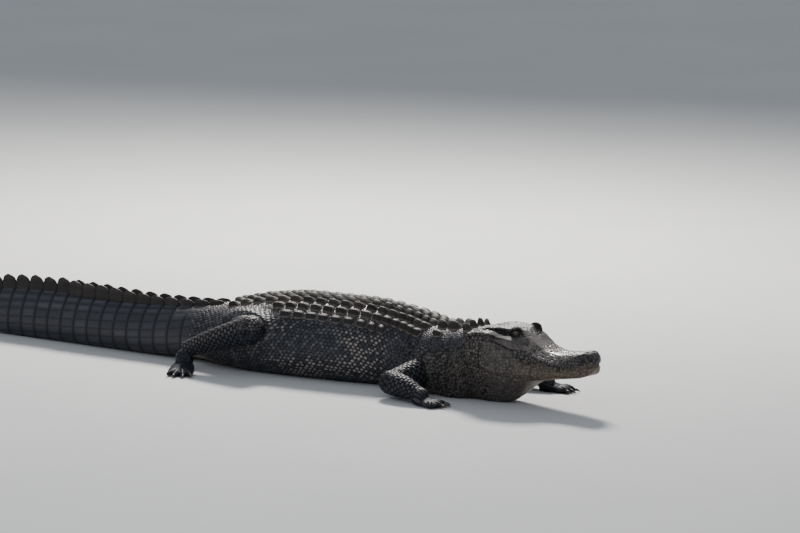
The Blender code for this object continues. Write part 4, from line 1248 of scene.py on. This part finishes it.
def leg_flesh(leg):
    """The shapes of a leg before they melt together: two lengths, knee, ankle, palm and toes."""
    upper, lower, joint, wrist = leg_lines(leg)
    from_root = np.linalg.norm(upper - upper[0], axis=1)
    flare = 1 + FLARE * np.clip(1 - from_root / FLARE_REACH, 0, 1)[:, None] ** 2
    ankle = leg["ankle"]
    pieces = [
        tube_mesh(upper, spline(leg["upper"], LIMB_PARTS) * flare),
        tube_mesh(lower, spline(leg["lower"], LIMB_PARTS)),
        ball_mesh(joint, np.array(leg["upper"][2])[[0, 1, 1]] * ELBOW),
        ball_mesh((wrist[0], wrist[1], ankle["height"]), ankle["radii"]),
    ]
    length, wide, thick = leg["palm"]
    forward, _ = foot_axes(leg)
    rear = np.array([wrist[0], wrist[1], 0.0]) - forward * HEEL
    spots = [rear + forward * (HEEL + length) * t + (0, 0, thick * h * 0.72) for t, w, h in PALM_RINGS]
    radii = [(wide * w, thick * h * 0.9) for t, w, h in PALM_RINGS]
    pieces.append(tube_mesh(spline(spots, FINE_PARTS), spline(radii, FINE_PARTS)))
    sizes = spline([(wide, high) for _, _, wide, high in TOE_RINGS], FINE_PARTS)
    for path, _ in toe_paths(leg, wrist):
        pieces.append(tube_mesh(spline(path, FINE_PARTS), sizes, TOE_SIDES))
    return pieces


def melted(name, pieces, voxel):
    """The outer skin of overlapping closed shapes, as point and face arrays."""
    mesh = bpy.data.meshes.new(name)
    points, faces = stacked(pieces)
    mesh.from_pydata(points.tolist(), [], faces)
    obj = linked(name, mesh)
    remesh = obj.modifiers.new("melt", "REMESH")
    remesh.mode = "VOXEL"
    remesh.voxel_size = voxel
    graph = bpy.context.evaluated_depsgraph_get()
    made = bpy.data.meshes.new_from_object(obj.evaluated_get(graph))
    points = np.zeros(len(made.vertices) * 3, np.float32)
    made.vertices.foreach_get("co", points)
    faces = np.array([p.vertices[:] for p in made.polygons], np.int64)
    bpy.data.objects.remove(obj, do_unlink=True)
    for spent in (mesh, made):
        bpy.data.meshes.remove(spent)
    return points.reshape(-1, 3).astype(float), faces


def edge_pairs(faces):
    pairs = np.concatenate([faces[:, [k, (k + 1) % faces.shape[1]]] for k in range(faces.shape[1])])
    return np.unique(np.sort(pairs, axis=1), axis=0)


def relaxed(points, pairs, rounds, share=0.5):
    """Points drawn toward the mean of their neighbours, a number of rounds."""
    count = len(points)
    links = np.bincount(pairs.ravel(), minlength=count)[:, None]
    for _ in range(rounds):
        total = np.zeros_like(points)
        for k in range(3):
            total[:, k] = np.bincount(pairs[:, 0], points[pairs[:, 1], k], count)
            total[:, k] += np.bincount(pairs[:, 1], points[pairs[:, 0], k], count)
        points = points * (1 - share) + share * total / np.maximum(links, 1)
    return points


def point_normals(points, faces):
    """Outward normal at each point of a mesh of faces with equal numbers of corners."""
    a, b, c = points[faces[:, 0]], points[faces[:, 1]], points[faces[:, 2]]
    normal = np.cross(b - a, c - a)
    total = np.zeros_like(points)
    for k in range(3):
        for corner in range(faces.shape[1]):
            total[:, k] += np.bincount(faces[:, corner], normal[:, k], len(points))
    return total / np.maximum(np.linalg.norm(total, axis=1, keepdims=True), 1e-12)


def nearest_on(lines, points):
    """For each point: which line is nearest, how far along it the point lies, and how far round it."""
    best = np.full(len(points), FAR)
    which = np.zeros(len(points), int)
    along = np.zeros(len(points))
    round_it = np.zeros(len(points))
    for k, (line, radius) in enumerate(lines):
        start = 0.0
        for a, b in zip(line[:-1], line[1:], strict=True):
            way = b - a
            length = np.linalg.norm(way)
            way = way / length
            t = np.clip((points - a) @ way, 0, length)
            off = points - a - t[:, None] * way
            gap = np.linalg.norm(off, axis=1)
            across = np.cross((0, 0, 1), way)
            across = across / max(np.linalg.norm(across), 1e-9)
            up = np.cross(way, across)
            angle = np.arctan2(off @ across, off @ up)
            closer = gap / radius < best
            best = np.where(closer, gap / radius, best)
            which = np.where(closer, k, which)
            along = np.where(closer, start + t, along)
            round_it = np.where(closer, angle * radius, round_it)
            start += length
    return which, along, round_it


LIMB_RADIUS, PALM_RADIUS, TOE_RADIUS = 0.036, 0.026, 0.0085
LEG_VOXEL = 0.0016


def wrapped_uv(faces, which, along, share):
    """Corner by corner unwrap of tubes: one strip each, along it in u and round it in v."""
    strips = int(which.max()) + 1
    first = which[faces[:, :1]]
    turn = share[faces]
    turn = np.where((turn.max(1, keepdims=True) - turn > 0.5), turn + 1, turn)
    far = along[faces] / 0.45
    mixed_up = (which[faces] != first).any(1, keepdims=True)
    far = np.where(mixed_up, far[:, :1], far)
    turn = np.where(mixed_up, turn[:, :1], turn)
    u = 0.01 + 0.97 * np.clip(far, 0, 1)
    v = (first + 0.05 + 0.9 * turn / 2) / strips
    return np.stack([u, v], -1).reshape(-1, 2)


def leg_relief(points, upper, lower, wrist, toes):
    """Scales of a leg: cross bands on the limb, small scales on the palm, cross plates on the toes."""
    whole = np.vstack([upper, lower[1:]])
    lines = [(whole, LIMB_RADIUS), (np.array([wrist, toes[len(toes) // 2][0][0]]), PALM_RADIUS)]
    lines += [(path, TOE_RADIUS) for path, _ in toes]
    which, along, round_it = nearest_on(lines, points)
    radius = np.array([r for _, r in lines])[which]
    drift = 0.25 * grain(along / 0.03, round_it / 0.03, 47)
    rows = along / LIMB_SCALE[0] + drift
    bands, band_pick, _ = bricks(rows, round_it / LIMB_SCALE[1] + 0.5 * (np.floor(rows) % 2), 0.30, 40)
    knobs, knob_pick, _ = cells(along / KNOB_SCALE, round_it / KNOB_SCALE, 0.35, 44)
    palm_scales, palm_pick, _ = cells(along / PALM_SCALE[0], round_it / PALM_SCALE[1], 0.35, 41)
    toe_scales, toe_pick, _ = bricks(along / TOE_SCALE[0], round_it / TOE_SCALE[1] + 0.5, 0.20, 42)
    upper_length = np.linalg.norm(np.diff(upper, axis=0), axis=1).sum()
    root = smooth((0.55 * upper_length - along) / 0.03)
    bend = smooth((np.abs(along - upper_length) - 0.012) / 0.014)
    knee, knee_pick, _ = cells_in_space(points, KNEE_SCALE, 0.7, 45)
    limb_scales, limb_pick = mixed(bands, knobs, root), np.where(root > 0.5, knob_pick, band_pick)
    limb_scales, limb_pick = mixed(knee, limb_scales, bend), np.where(bend < 0.5, knee_pick, limb_pick)
    limb, palm = which == 0, which == 1
    scale = np.where(limb, limb_scales, np.where(palm, palm_scales, toe_scales))
    pick = np.where(limb, limb_pick, np.where(palm, palm_pick, toe_pick))
    depth = np.where(limb, LIMB_DEPTH, np.where(palm, PALM_DEPTH, TOE_DEPTH))
    share = round_it / radius / (2 * math.pi) + 0.5
    return (scale - 1) * depth, scale, pick, (which, along, share)


def build_leg(name, leg, material, claw_material):
    upper, lower, _, wrist = leg_lines(leg)
    points, faces = melted(name, leg_flesh(leg), LEG_VOXEL)
    points = relaxed(points, edge_pairs(faces), 8)
    toes = toe_paths(leg, wrist)
    metres, scale, pick, places = leg_relief(points, upper, lower, wrist, toes)
    normals = point_normals(points, faces)
    # Painted highlight: the up-facing tops of the legs are paler.
    lit = leg["pale_lit_top"] * smooth((normals[:, 2] + 0.05) / 0.45) * (0.3 + 0.7 * scale) * (places[0] == 0)
    points = points + normals * metres[:, None] + SHIFT
    points[:, 2] = np.maximum(points[:, 2], FLOOR_GAP)
    masks = {"scale": scale, "pick": 0.30 + 0.35 * pick, "leg": np.ones(len(points)), "wear_and_highlight": lit}
    obj = new_mesh(name + "_skin", points, faces, material, masks, wrapped_uv(faces, *places))
    place(obj, "skin", name + "_upper", name + "_lower", name + "_foot")
    for i in range(CLAWS):
        path, way = toes[i]
        build_claw(f"{name}_claw_{i + 1}", path[-1], way, claw_material)


def tube_uv(rings, sides):
    """Point by point unwrap of a tube."""
    r, c = np.meshgrid(np.linspace(0, 1, rings), np.arange(sides) / sides, indexing="ij")
    return 0.01 + 0.98 * np.stack([r, c], -1).reshape(-1, 2)


def build_claw(node, tip, way, material):
    """A curved claw, deeper than wide, from inside the toe to a blunt point."""
    start = tip - way * CLAW_SUNK + SHIFT
    path = spline([start + way * CLAW_LENGTH * t + (0, 0, z) for t, z, _ in CLAW_RINGS], FINE_PARTS)
    sizes = spline([(r * CLAW_SLIM, r) for _, _, r in CLAW_RINGS], FINE_PARTS)
    points, faces = tube_mesh(path, sizes, CLAW_SIDES)
    points[:, 2] = np.maximum(points[:, 2], CLAW_GAP)
    along = (points - start) @ way / CLAW_LENGTH
    obj = new_mesh(node + "_nail", points, faces, material, {"tip": along}, tube_uv(len(path), CLAW_SIDES))
    place(obj, "claw", node)


# Eyes and teeth.

BALL_ROWS, BALL_SIDES = 40, 64


def build_eye(side, material):
    node_name = eye_node(side)
    points, faces = ball_mesh((0, 0, 0), (EYE_RADIUS - 0.0002,) * 3, BALL_ROWS, BALL_SIDES)
    look = unit(HEAD_AXES @ np.array([0.25, side * 0.96, 0.12]))
    ahead = unit(HEAD_AXES[:, 0] - look * (HEAD_AXES[:, 0] @ look))
    up = np.cross(ahead, look) * side
    up = up * np.sign(up[2])
    local = np.stack([points @ ahead, points @ up, points @ look], 1) / EYE_RADIUS
    masks = {"gaze_x": local[:, 0], "gaze_y": local[:, 1], "gaze_z": local[:, 2]}
    uv = tube_uv(BALL_ROWS, BALL_SIDES)
    obj = new_mesh(node_name + "_ball", points + middle_of(node_name), faces, material, masks, uv)
    place(obj, "eye", node_name)


TOOTH_X = [
    0.3290, 0.3240, 0.3174, 0.3100, 0.3010, 0.2912, 0.2805, 0.2698, 0.258, 0.245, 0.232, 0.219, 0.206, 0.193,
    0.181, 0.169, 0.158,
]
TOOTH_SIDES, MILLIMETRE = 8, 0.001
TOOTH_LONG = [2.4, 2.8, 3.2, 3.8, 3.2, 2.6, 3.2, 4.4, 5.2, 4.8, 3.2, 2.8, 3.6, 4.0, 3.2, 2.8, 2.4]
TOOTH_RINGS = ((0.003, 0.0, 1.0), (0.0, 0.3, 0.85), (0.0, 0.7, 0.5), (0.0, 1.0, 0.12))


def build_teeth(material):
    """The tips of the upper teeth, which hang outside the closed lower jaw."""
    pieces, rings = [], len(TOOTH_RINGS)
    for x, long in zip(TOOTH_X, TOOTH_LONG, strict=True):
        lip, mouth = float(curve(HEAD_X, LIP_Y, x)), float(curve(HEAD_X, MOUTH_Z, x))
        for side in (1, -1):
            length = long * MILLIMETRE * RNG.uniform(0.85, 1.1)
            x_here = x + RNG.uniform(-0.0015, 0.0015)
            path, sizes = [], []
            for k, (root, down, r) in enumerate(TOOTH_RINGS):
                inward = min(0.0034 + 0.0006 * k, 0.5 * lip)
                path.append(head_spot(x_here, side * (lip - inward), mouth + root - down * length))
                sizes.append(((0.0011 + 0.00013 * long) * r,) * 2)
            spots, faces = tube_mesh(np.array(path) + SHIFT, sizes, TOOTH_SIDES)
            uv = tube_uv(rings, TOOTH_SIDES) * (0.02, 0.4) + (x * 2.4, 0.5 * (side > 0))
            tip = np.repeat(np.arange(rings) / (rings - 1), TOOTH_SIDES)
            pieces.append((spots, faces, {"tip": tip}, uv))
    place(merged("upper_teeth", pieces, material), "jaw_skin")


# Materials.

def feed(tree, made, inputs):
    """Links the inputs that are given as sockets, and sets the others."""
    for key, value in inputs.items():
        if isinstance(value, bpy.types.NodeSocket):
            tree.links.new(value, made.inputs[key])
        else:
            made.inputs[key].default_value = value
    return made


def node(tree, kind, inputs=None, **settings):
    made = tree.nodes.new(kind)
    for key, value in settings.items():
        setattr(made, key, value)
    return feed(tree, made, inputs or {})


def shader_tree(name):
    made = bpy.data.materials.new(name)
    made.use_nodes = True
    return made, made.node_tree, made.node_tree.nodes["Principled BSDF"]


def mask(tree, name):
    return node(tree, "ShaderNodeAttribute", attribute_name=name).outputs["Fac"]


def maths(tree, operation, a, b=0.5, clamp=False):
    return node(tree, "ShaderNodeMath", {0: a, 1: b}, operation=operation, use_clamp=clamp).outputs[0]


def times(tree, a, b, clamp=False):
    return maths(tree, "MULTIPLY", a, b, clamp)


def plus(tree, a, b, clamp=False):
    return maths(tree, "ADD", a, b, clamp)


def minus(tree, a, b, clamp=False):
    return maths(tree, "SUBTRACT", a, b, clamp)


def blend_colour(tree, share, a, b, mode="MIX"):
    inputs = {0: share, 6: a, 7: b}
    return node(tree, "ShaderNodeMix", inputs, data_type="RGBA", blend_type=mode).outputs[2]


def painted(tree, shade, name, share, paint):
    """The colour so far, with paint over it where the mask of this name says so."""
    return blend_colour(tree, times(tree, mask(tree, name), share), shade, paint)


def ramp(tree, value, *stops):
    made = node(tree, "ShaderNodeValToRGB", {"Fac": value})
    elements = made.color_ramp.elements
    while len(elements) < len(stops):
        elements.new(0.5)
    for element, (at, shade) in zip(elements, stops, strict=True):
        element.position = at
        element.color = shade
    return made.outputs["Color"]


def noise(tree, scale, detail, roughness=0.5):
    where = node(tree, "ShaderNodeTexCoord").outputs["Object"]
    inputs = {"Vector": where, "Scale": scale, "Detail": detail, "Roughness": roughness}
    return node(tree, "ShaderNodeTexNoise", inputs).outputs["Fac"]


def bumped(tree, horn, strength, distance):
    inputs = {"Strength": strength, "Distance": distance, "Height": horn["Height"]}
    return node(tree, "ShaderNodeBump", inputs).outputs["Normal"]


def new_group(name, inputs, outputs):
    """A node group with these sockets: the group, what it is given and what it puts out."""
    group = bpy.data.node_groups.new(name, "ShaderNodeTree")
    for label, default in inputs.items():
        socket = group.interface.new_socket(label, in_out="INPUT", socket_type="NodeSocketFloat")
        socket.default_value = default
    for label in outputs:
        group.interface.new_socket(label, in_out="OUTPUT", socket_type="NodeSocketFloat")
    return group, group.nodes.new("NodeGroupInput").outputs, group.nodes.new("NodeGroupOutput")


def use_group(tree, group, inputs):
    return node(tree, "ShaderNodeGroup", inputs, node_tree=group).outputs


def horn_grain_group():
    """Fine growth grain and pores of horn and skin: a value about 0.5, and a height for bump."""
    group, given, out = new_group("horn_grain", {"Scale": 300.0}, ["Value", "Height"])
    coarse = noise(group, given["Scale"], 6.0, 0.62)
    where = node(group, "ShaderNodeTexCoord").outputs["Object"]
    inputs = {"Vector": where, "Scale": times(group, given["Scale"], 2.2)}
    pores = node(group, "ShaderNodeTexVoronoi", inputs).outputs["Distance"]
    feed(group, out, {"Value": coarse, "Height": plus(group, coarse, times(group, pores, 0.5))})
    return group


def dry_mud_group():
    """Where pale dust and dried mud lie: a mask, more of it where the input says so."""
    group, given, out = new_group("dry_mud", {"Amount": 0.3}, ["Mask"])
    cloud = minus(group, noise(group, 22.0, 8.0, 0.7), 0.62)
    lifted = plus(group, cloud, times(group, given["Amount"], 0.30))
    feed(group, out, {"Mask": times(group, lifted, 5.0, clamp=True)})
    return group


# Grain of each material: how many to a metre, and how strong and how deep its bump is.
SKIN_GRAIN, SKIN_BUMP = 260.0, (0.55, 0.0006)
SCUTE_GRAIN, SCUTE_BUMP = 220.0, (0.7, 0.0008)
CLAW_GRAIN, CLAW_BUMP = 500.0, (0.3, 0.0003)
TOOTH_GRAIN, IRIS_GRAIN, FLOOR_GRAIN = 700.0, 900.0, 1.5

# Colours, as red, green, blue and 1.
# Painted shade: in the seams between scales, and round the eyes, at the ear slits, on a strip of the head and
# along the mouth.
SEAM_SHADE_COLOUR, PAINTED_SHADE_COLOUR = (0.006, 0.006, 0.007, 1), (0.015, 0.011, 0.009, 1)
DOT_COLOUR, BELLY_COLOUR = (0.50, 0.40, 0.31, 1), (0.26, 0.235, 0.175, 1)
SKIN_MUD, SCUTE_MUD = (0.13, 0.11, 0.085, 1), (0.17, 0.135, 0.105, 1)
FIN_COLOUR, LOW_COLOUR = (0.019, 0.016, 0.016, 1), (0.018, 0.018, 0.020, 1)
# Painted highlight along the keels and at the rims of the plates.
RIDGE_HIGHLIGHT, RIM_HIGHLIGHT = (0.22, 0.18, 0.15, 1), (0.260, 0.215, 0.188, 1)
# Painted highlight on the crown of each scale.
CROWN_HIGHLIGHT = (2.6, 2.6, 2.7, 1)
IRIS_EDGE, PUPIL = (0.012, 0.010, 0.008, 1), (0.002, 0.002, 0.002, 1)

# Colours that change with the number of a scale.
DARK_SCALES = (
    (0.0, (0.010, 0.011, 0.015, 1)), (0.55, (0.021, 0.022, 0.027, 1)), (1.0, (0.040, 0.040, 0.044, 1)),
)
BROWN_SCALES = (
    (0.0, (0.034, 0.028, 0.024, 1)), (0.5, (0.062, 0.051, 0.042, 1)), (1.0, (0.100, 0.082, 0.066, 1)),
)
LEG_SCALES = (
    (0.0, (0.014, 0.016, 0.022, 1)), (0.6, (0.026, 0.028, 0.034, 1)), (1.0, (0.048, 0.047, 0.048, 1)),
)
SCUTE_HORN = (
    (0.0, (0.014, 0.012, 0.011, 1)), (0.5, (0.026, 0.021, 0.018, 1)), (1.0, (0.044, 0.034, 0.027, 1)),
)
# Colours that change with fine grain.
YELLOW_SKIN = ((0.3, (0.060, 0.043, 0.027, 1)), (0.7, (0.125, 0.090, 0.056, 1)))
# Pale worn bone, also painted on as highlight.
WORN_AND_LIT_BONE = ((0.3, (0.085, 0.068, 0.058, 1)), (0.7, (0.240, 0.195, 0.168, 1)))
# The iris is darkened with painted shade.
SHADED_IRIS = ((0.3, (0.014, 0.010, 0.005, 1)), (0.7, (0.050, 0.036, 0.015, 1)))
FLOOR_GREYS = ((0.3, (0.66, 0.665, 0.66, 1)), (0.7, (0.70, 0.70, 0.69, 1)))
# Colours that change from root to tip.
CLAW_HORN = ((0.0, (0.035, 0.028, 0.022, 1)), (0.7, (0.070, 0.058, 0.045, 1)), (1.0, (0.16, 0.13, 0.10, 1)))
TOOTH_ENAMEL = ((0.0, (0.16, 0.11, 0.06, 1)), (0.5, (0.34, 0.27, 0.18, 1)), (1.0, (0.50, 0.43, 0.32, 1)))


def skin_material(grain_group, mud_group):
    """Near black scales with painted shade in the seams and a painted highlight on each crown; brown on neck
    and jowl; pale worn bone and painted highlight on the snout, painted highlight on skull, nape, leg tops
    and between the back plates; painted shade at eyes, ear slits and mouth; cream dots on the flank.
    """
    made, tree, shader = shader_tree("alligator_skin")
    scale, pick, leg, wear_and_highlight, lids = (mask(tree, name) for name in ("scale", "pick", "leg", "wear_and_highlight", "lids"))
    horn = use_group(tree, grain_group, {"Scale": SKIN_GRAIN})
    mud = use_group(tree, mud_group, {"Amount": 0.15})["Mask"]
    shade = blend_colour(tree, leg, ramp(tree, pick, *DARK_SCALES), ramp(tree, pick, *LEG_SCALES))
    shade = painted(tree, shade, "brown", 0.8, ramp(tree, pick, *BROWN_SCALES))
    shade = painted(tree, shade, "yellow", 0.7, ramp(tree, horn["Value"], *YELLOW_SKIN))
    # Pale worn bone on the snout and the plate under the eye, and painted highlight on snout, skull, nape,
    # leg tops and between the back plates.
    shade = painted(tree, shade, "wear_and_highlight", 0.9, ramp(tree, horn["Value"], *WORN_AND_LIT_BONE))
    shade = blend_colour(tree, times(tree, mud, 0.12), shade, SKIN_MUD)
    # Painted highlight on the crown of each scale.
    crown_highlight = times(tree, maths(tree, "POWER", scale, 4.0), times(tree, pick, 0.8))
    shade = blend_colour(tree, crown_highlight, shade, blend_colour(tree, 1.0, shade, CROWN_HIGHLIGHT, "MULTIPLY"))
    # Painted shade in the seams between scales.
    seams = minus(tree, 1.0, times(tree, scale, 1.2, clamp=True))
    shade = blend_colour(tree, times(tree, seams, 0.85), shade, SEAM_SHADE_COLOUR)
    shade = painted(tree, shade, "pale", 0.75, DOT_COLOUR)
    shade = painted(tree, shade, "belly", 0.85, BELLY_COLOUR)
    # Painted shade round the eyes, at the ear slits, on a strip of the head and along the lips.
    shade = painted(tree, shade, "lids", 0.85, PAINTED_SHADE_COLOUR)
    dull = maths(tree, "MAXIMUM", times(tree, leg, minus(tree, 1.0, wear_and_highlight)), lids)
    wet = times(tree, wear_and_highlight, 1.2, clamp=True)
    gloss = minus(tree, plus(tree, 0.5, times(tree, wet, 0.5)), times(tree, dull, 0.38), clamp=True)
    open_skin = plus(tree, times(tree, scale, 0.9), 0.28, clamp=True)
    closed = maths(tree, "MAXIMUM", lids, minus(tree, 1.0, open_skin))
    rough = plus(tree, times(tree, horn["Value"], 0.30), 0.30)
    rough = minus(tree, rough, times(tree, wet, 0.25), clamp=True)
    feed(tree, shader, {
        "Base Color": shade,
        "Specular IOR Level": times(tree, gloss, open_skin),
        "Roughness": plus(tree, rough, times(tree, closed, 0.40), clamp=True),
        "Normal": bumped(tree, horn, *SKIN_BUMP),
    })
    return made


def scute_material(grain_group, mud_group):
    """Brown-black horn, with painted highlight along keels and at rims, dark at the roots."""
    made, tree, shader = shader_tree("scute_horn")
    horn = use_group(tree, grain_group, {"Scale": SCUTE_GRAIN})
    mud = use_group(tree, mud_group, {"Amount": 0.30})["Mask"]
    shade = ramp(tree, mask(tree, "pick"), *SCUTE_HORN)
    shade = painted(tree, shade, "fin", 0.85, FIN_COLOUR)
    shade = painted(tree, shade, "low", 0.7, LOW_COLOUR)
    # Painted highlight along the keels and at the rims of the plates.
    ridge = times(tree, minus(tree, mask(tree, "keel"), 0.62), 2.6, clamp=True)
    ridge = times(tree, ridge, plus(tree, horn["Value"], 0.05))
    ridge = times(tree, ridge, minus(tree, 1.0, times(tree, mask(tree, "fin"), 0.75)))
    shade = blend_colour(tree, ridge, shade, RIDGE_HIGHLIGHT)
    shade = blend_colour(tree, mask(tree, "rim"), RIM_HIGHLIGHT, shade)
    feed(tree, shader, {
        "Base Color": blend_colour(tree, times(tree, mud, 0.15), shade, SCUTE_MUD),
        "Specular IOR Level": 0.30,
        "Roughness": plus(tree, times(tree, horn["Value"], 0.35), 0.38),
        "Normal": bumped(tree, horn, *SCUTE_BUMP),
    })
    return made


def tip_material(name, grain_group, scale, stops, rough):
    """Horn or enamel that changes from root to tip, with fine grain in its gloss."""
    made, tree, shader = shader_tree(name)
    horn = use_group(tree, grain_group, {"Scale": scale})
    feed(tree, shader, {
        "Base Color": ramp(tree, mask(tree, "tip"), *stops),
        "Roughness": plus(tree, times(tree, horn["Value"], rough[0]), rough[1]),
    })
    return made, tree, shader, horn


def claw_material(grain_group):
    made, tree, shader, horn = tip_material("claw_horn", grain_group, CLAW_GRAIN, CLAW_HORN, (0.3, 0.2))
    feed(tree, shader, {"Normal": bumped(tree, horn, *CLAW_BUMP)})
    return made


def tooth_material(grain_group):
    return tip_material("tooth_enamel", grain_group, TOOTH_GRAIN, TOOTH_ENAMEL, (0.2, 0.15))[0]


def eye_material():
    """Gold iris darkened by painted shade, with a slit pupil, on a wet ball."""
    made, tree, shader = shader_tree("eye_wet")
    x, y, z = (mask(tree, "gaze_" + axis) for axis in "xyz")
    squares = [maths(tree, "POWER", times(tree, way, share), 2.0) for way, share in ((x, 9.0), (y, 2.1))]
    slit = maths(tree, "LESS_THAN", plus(tree, *squares), 1.0)
    iris = ramp(tree, noise(tree, IRIS_GRAIN, 4.0), *SHADED_IRIS)
    shade = blend_colour(tree, maths(tree, "LESS_THAN", z, 0.55), iris, IRIS_EDGE)
    feed(tree, shader, {
        "Base Color": blend_colour(tree, slit, shade, PUPIL),
        "Roughness": 0.12,
        "Coat Weight": 0.6,
        "Coat Roughness": 0.03,
    })
    return made


def floor_material():
    made, tree, shader = shader_tree("pale_floor")
    shade = ramp(tree, noise(tree, FLOOR_GRAIN, 4.0), *FLOOR_GREYS)
    feed(tree, shader, {"Base Color": shade, "Roughness": 0.85})
    return made


# Floor, lights and camera.

CAMERA_AZIMUTH, CAMERA_ELEVATION, CAMERA_ROLL = 27.5, 10.0, 1.1
CAMERA_DISTANCE, VIEW_END = 12.0, 100
CAMERA_FOCAL_PX = 4656.0
IMAGE_WIDTH, IMAGE_HEIGHT = 800, 533
AIM_POINT = (-0.05, 0.0, 0.10)
AIM_PX = (297.5, 329.9)
SENSOR_MM = 36.0
FLOOR_REACH, FLOOR_DROP = 14, 0.0005
SKY_COLOUR, SKY_STRENGTH = (0.80, 0.86, 0.95, 1), 0.42
LIGHTS = {
    "high_back": {"spot": (-0.8, 2.7, 3.0), "target": (0.1, 0, 0.05), "size": (1.0, 0.8), "watts": 320,
                  "tint": (1.0, 0.97, 0.92)},
    "sky_front": {"spot": (0.6, -4.0, 2.6), "target": (0.1, 0, 0.1), "size": (4.0, 2.4), "watts": 34,
                  "tint": (0.84, 0.90, 1.0)},
}


def build_floor():
    points = [(x * FLOOR_REACH, y * FLOOR_REACH, 0) for x, y in ((-1, -1), (1, -1), (1, 1), (-1, 1))]
    obj = new_mesh("floor", points, [(0, 1, 2, 3)], floor_material())
    obj.location.z = -FLOOR_DROP


def camera_axes():
    azimuth, elevation, roll = (math.radians(v) for v in (CAMERA_AZIMUTH, CAMERA_ELEVATION, CAMERA_ROLL))
    flat = math.cos(elevation)
    back = Vector((math.sin(azimuth) * flat, -math.cos(azimuth) * flat, math.sin(elevation)))
    right = Vector((math.cos(azimuth), math.sin(azimuth), 0))
    up = back.cross(right)
    return right * math.cos(roll) + up * math.sin(roll), up * math.cos(roll) - right * math.sin(roll), back


def build_camera():
    """The photograph's view: the aim point falls on its pixel, by turning the camera and not by a shift."""
    right, up, back = camera_axes()
    aim = Vector(AIM_POINT) + Vector(SHIFT)
    spot = aim + back * CAMERA_DISTANCE
    across = (AIM_PX[0] - IMAGE_WIDTH / 2) / CAMERA_FOCAL_PX
    drop = (AIM_PX[1] - IMAGE_HEIGHT / 2) / CAMERA_FOCAL_PX
    ray = Vector((across, -drop, -1)).normalized()
    axes = Matrix((right, up, back)).transposed()
    turn = ray.rotation_difference(Vector((0, 0, -1))).to_matrix()
    lens = bpy.data.cameras.new("photo_view")
    lens.sensor_width = SENSOR_MM
    lens.lens = CAMERA_FOCAL_PX / IMAGE_WIDTH * SENSOR_MM
    lens.clip_end = VIEW_END
    camera = linked("photo_view", lens)
    camera.matrix_world = Matrix.Translation(spot) @ (axes @ turn).to_4x4()
    bpy.context.scene.camera = camera


def area_light(name, spot, target, size, watts, tint):
    light = bpy.data.lights.new(name, "AREA")
    light.shape = "RECTANGLE"
    light.size, light.size_y = size
    light.energy = watts
    light.color = tint
    obj = linked(name, light)
    obj.location = spot
    obj.rotation_euler = (Vector(target) - Vector(spot)).to_track_quat("-Z", "Y").to_euler()


def build_lights():
    for name, light in LIGHTS.items():
        area_light(name, **light)
    world = bpy.data.worlds.new("soft_world")
    world.use_nodes = True
    background = world.node_tree.nodes["Background"]
    background.inputs["Color"].default_value = SKY_COLOUR
    background.inputs["Strength"].default_value = SKY_STRENGTH
    bpy.context.scene.world = world


def main():
    grain_group, mud_group = horn_grain_group(), dry_mud_group()
    skin, scutes = skin_material(grain_group, mud_group), scute_material(grain_group, mud_group)
    claws, teeth, eyes = claw_material(grain_group), tooth_material(grain_group), eye_material()
    build_skin(skin)
    join_plates("back_scutes", trunk_plates(), scutes)
    join_plates("neck_scutes", neck_plates(), scutes)
    build_crest(scutes)
    for name, leg in LEGS.items():
        build_leg(name, leg, skin, claws)
    for side in (1, -1):
        build_eye(side, eyes)
    build_teeth(teeth)
    build_floor()
    build_lights()
    build_camera()


main()
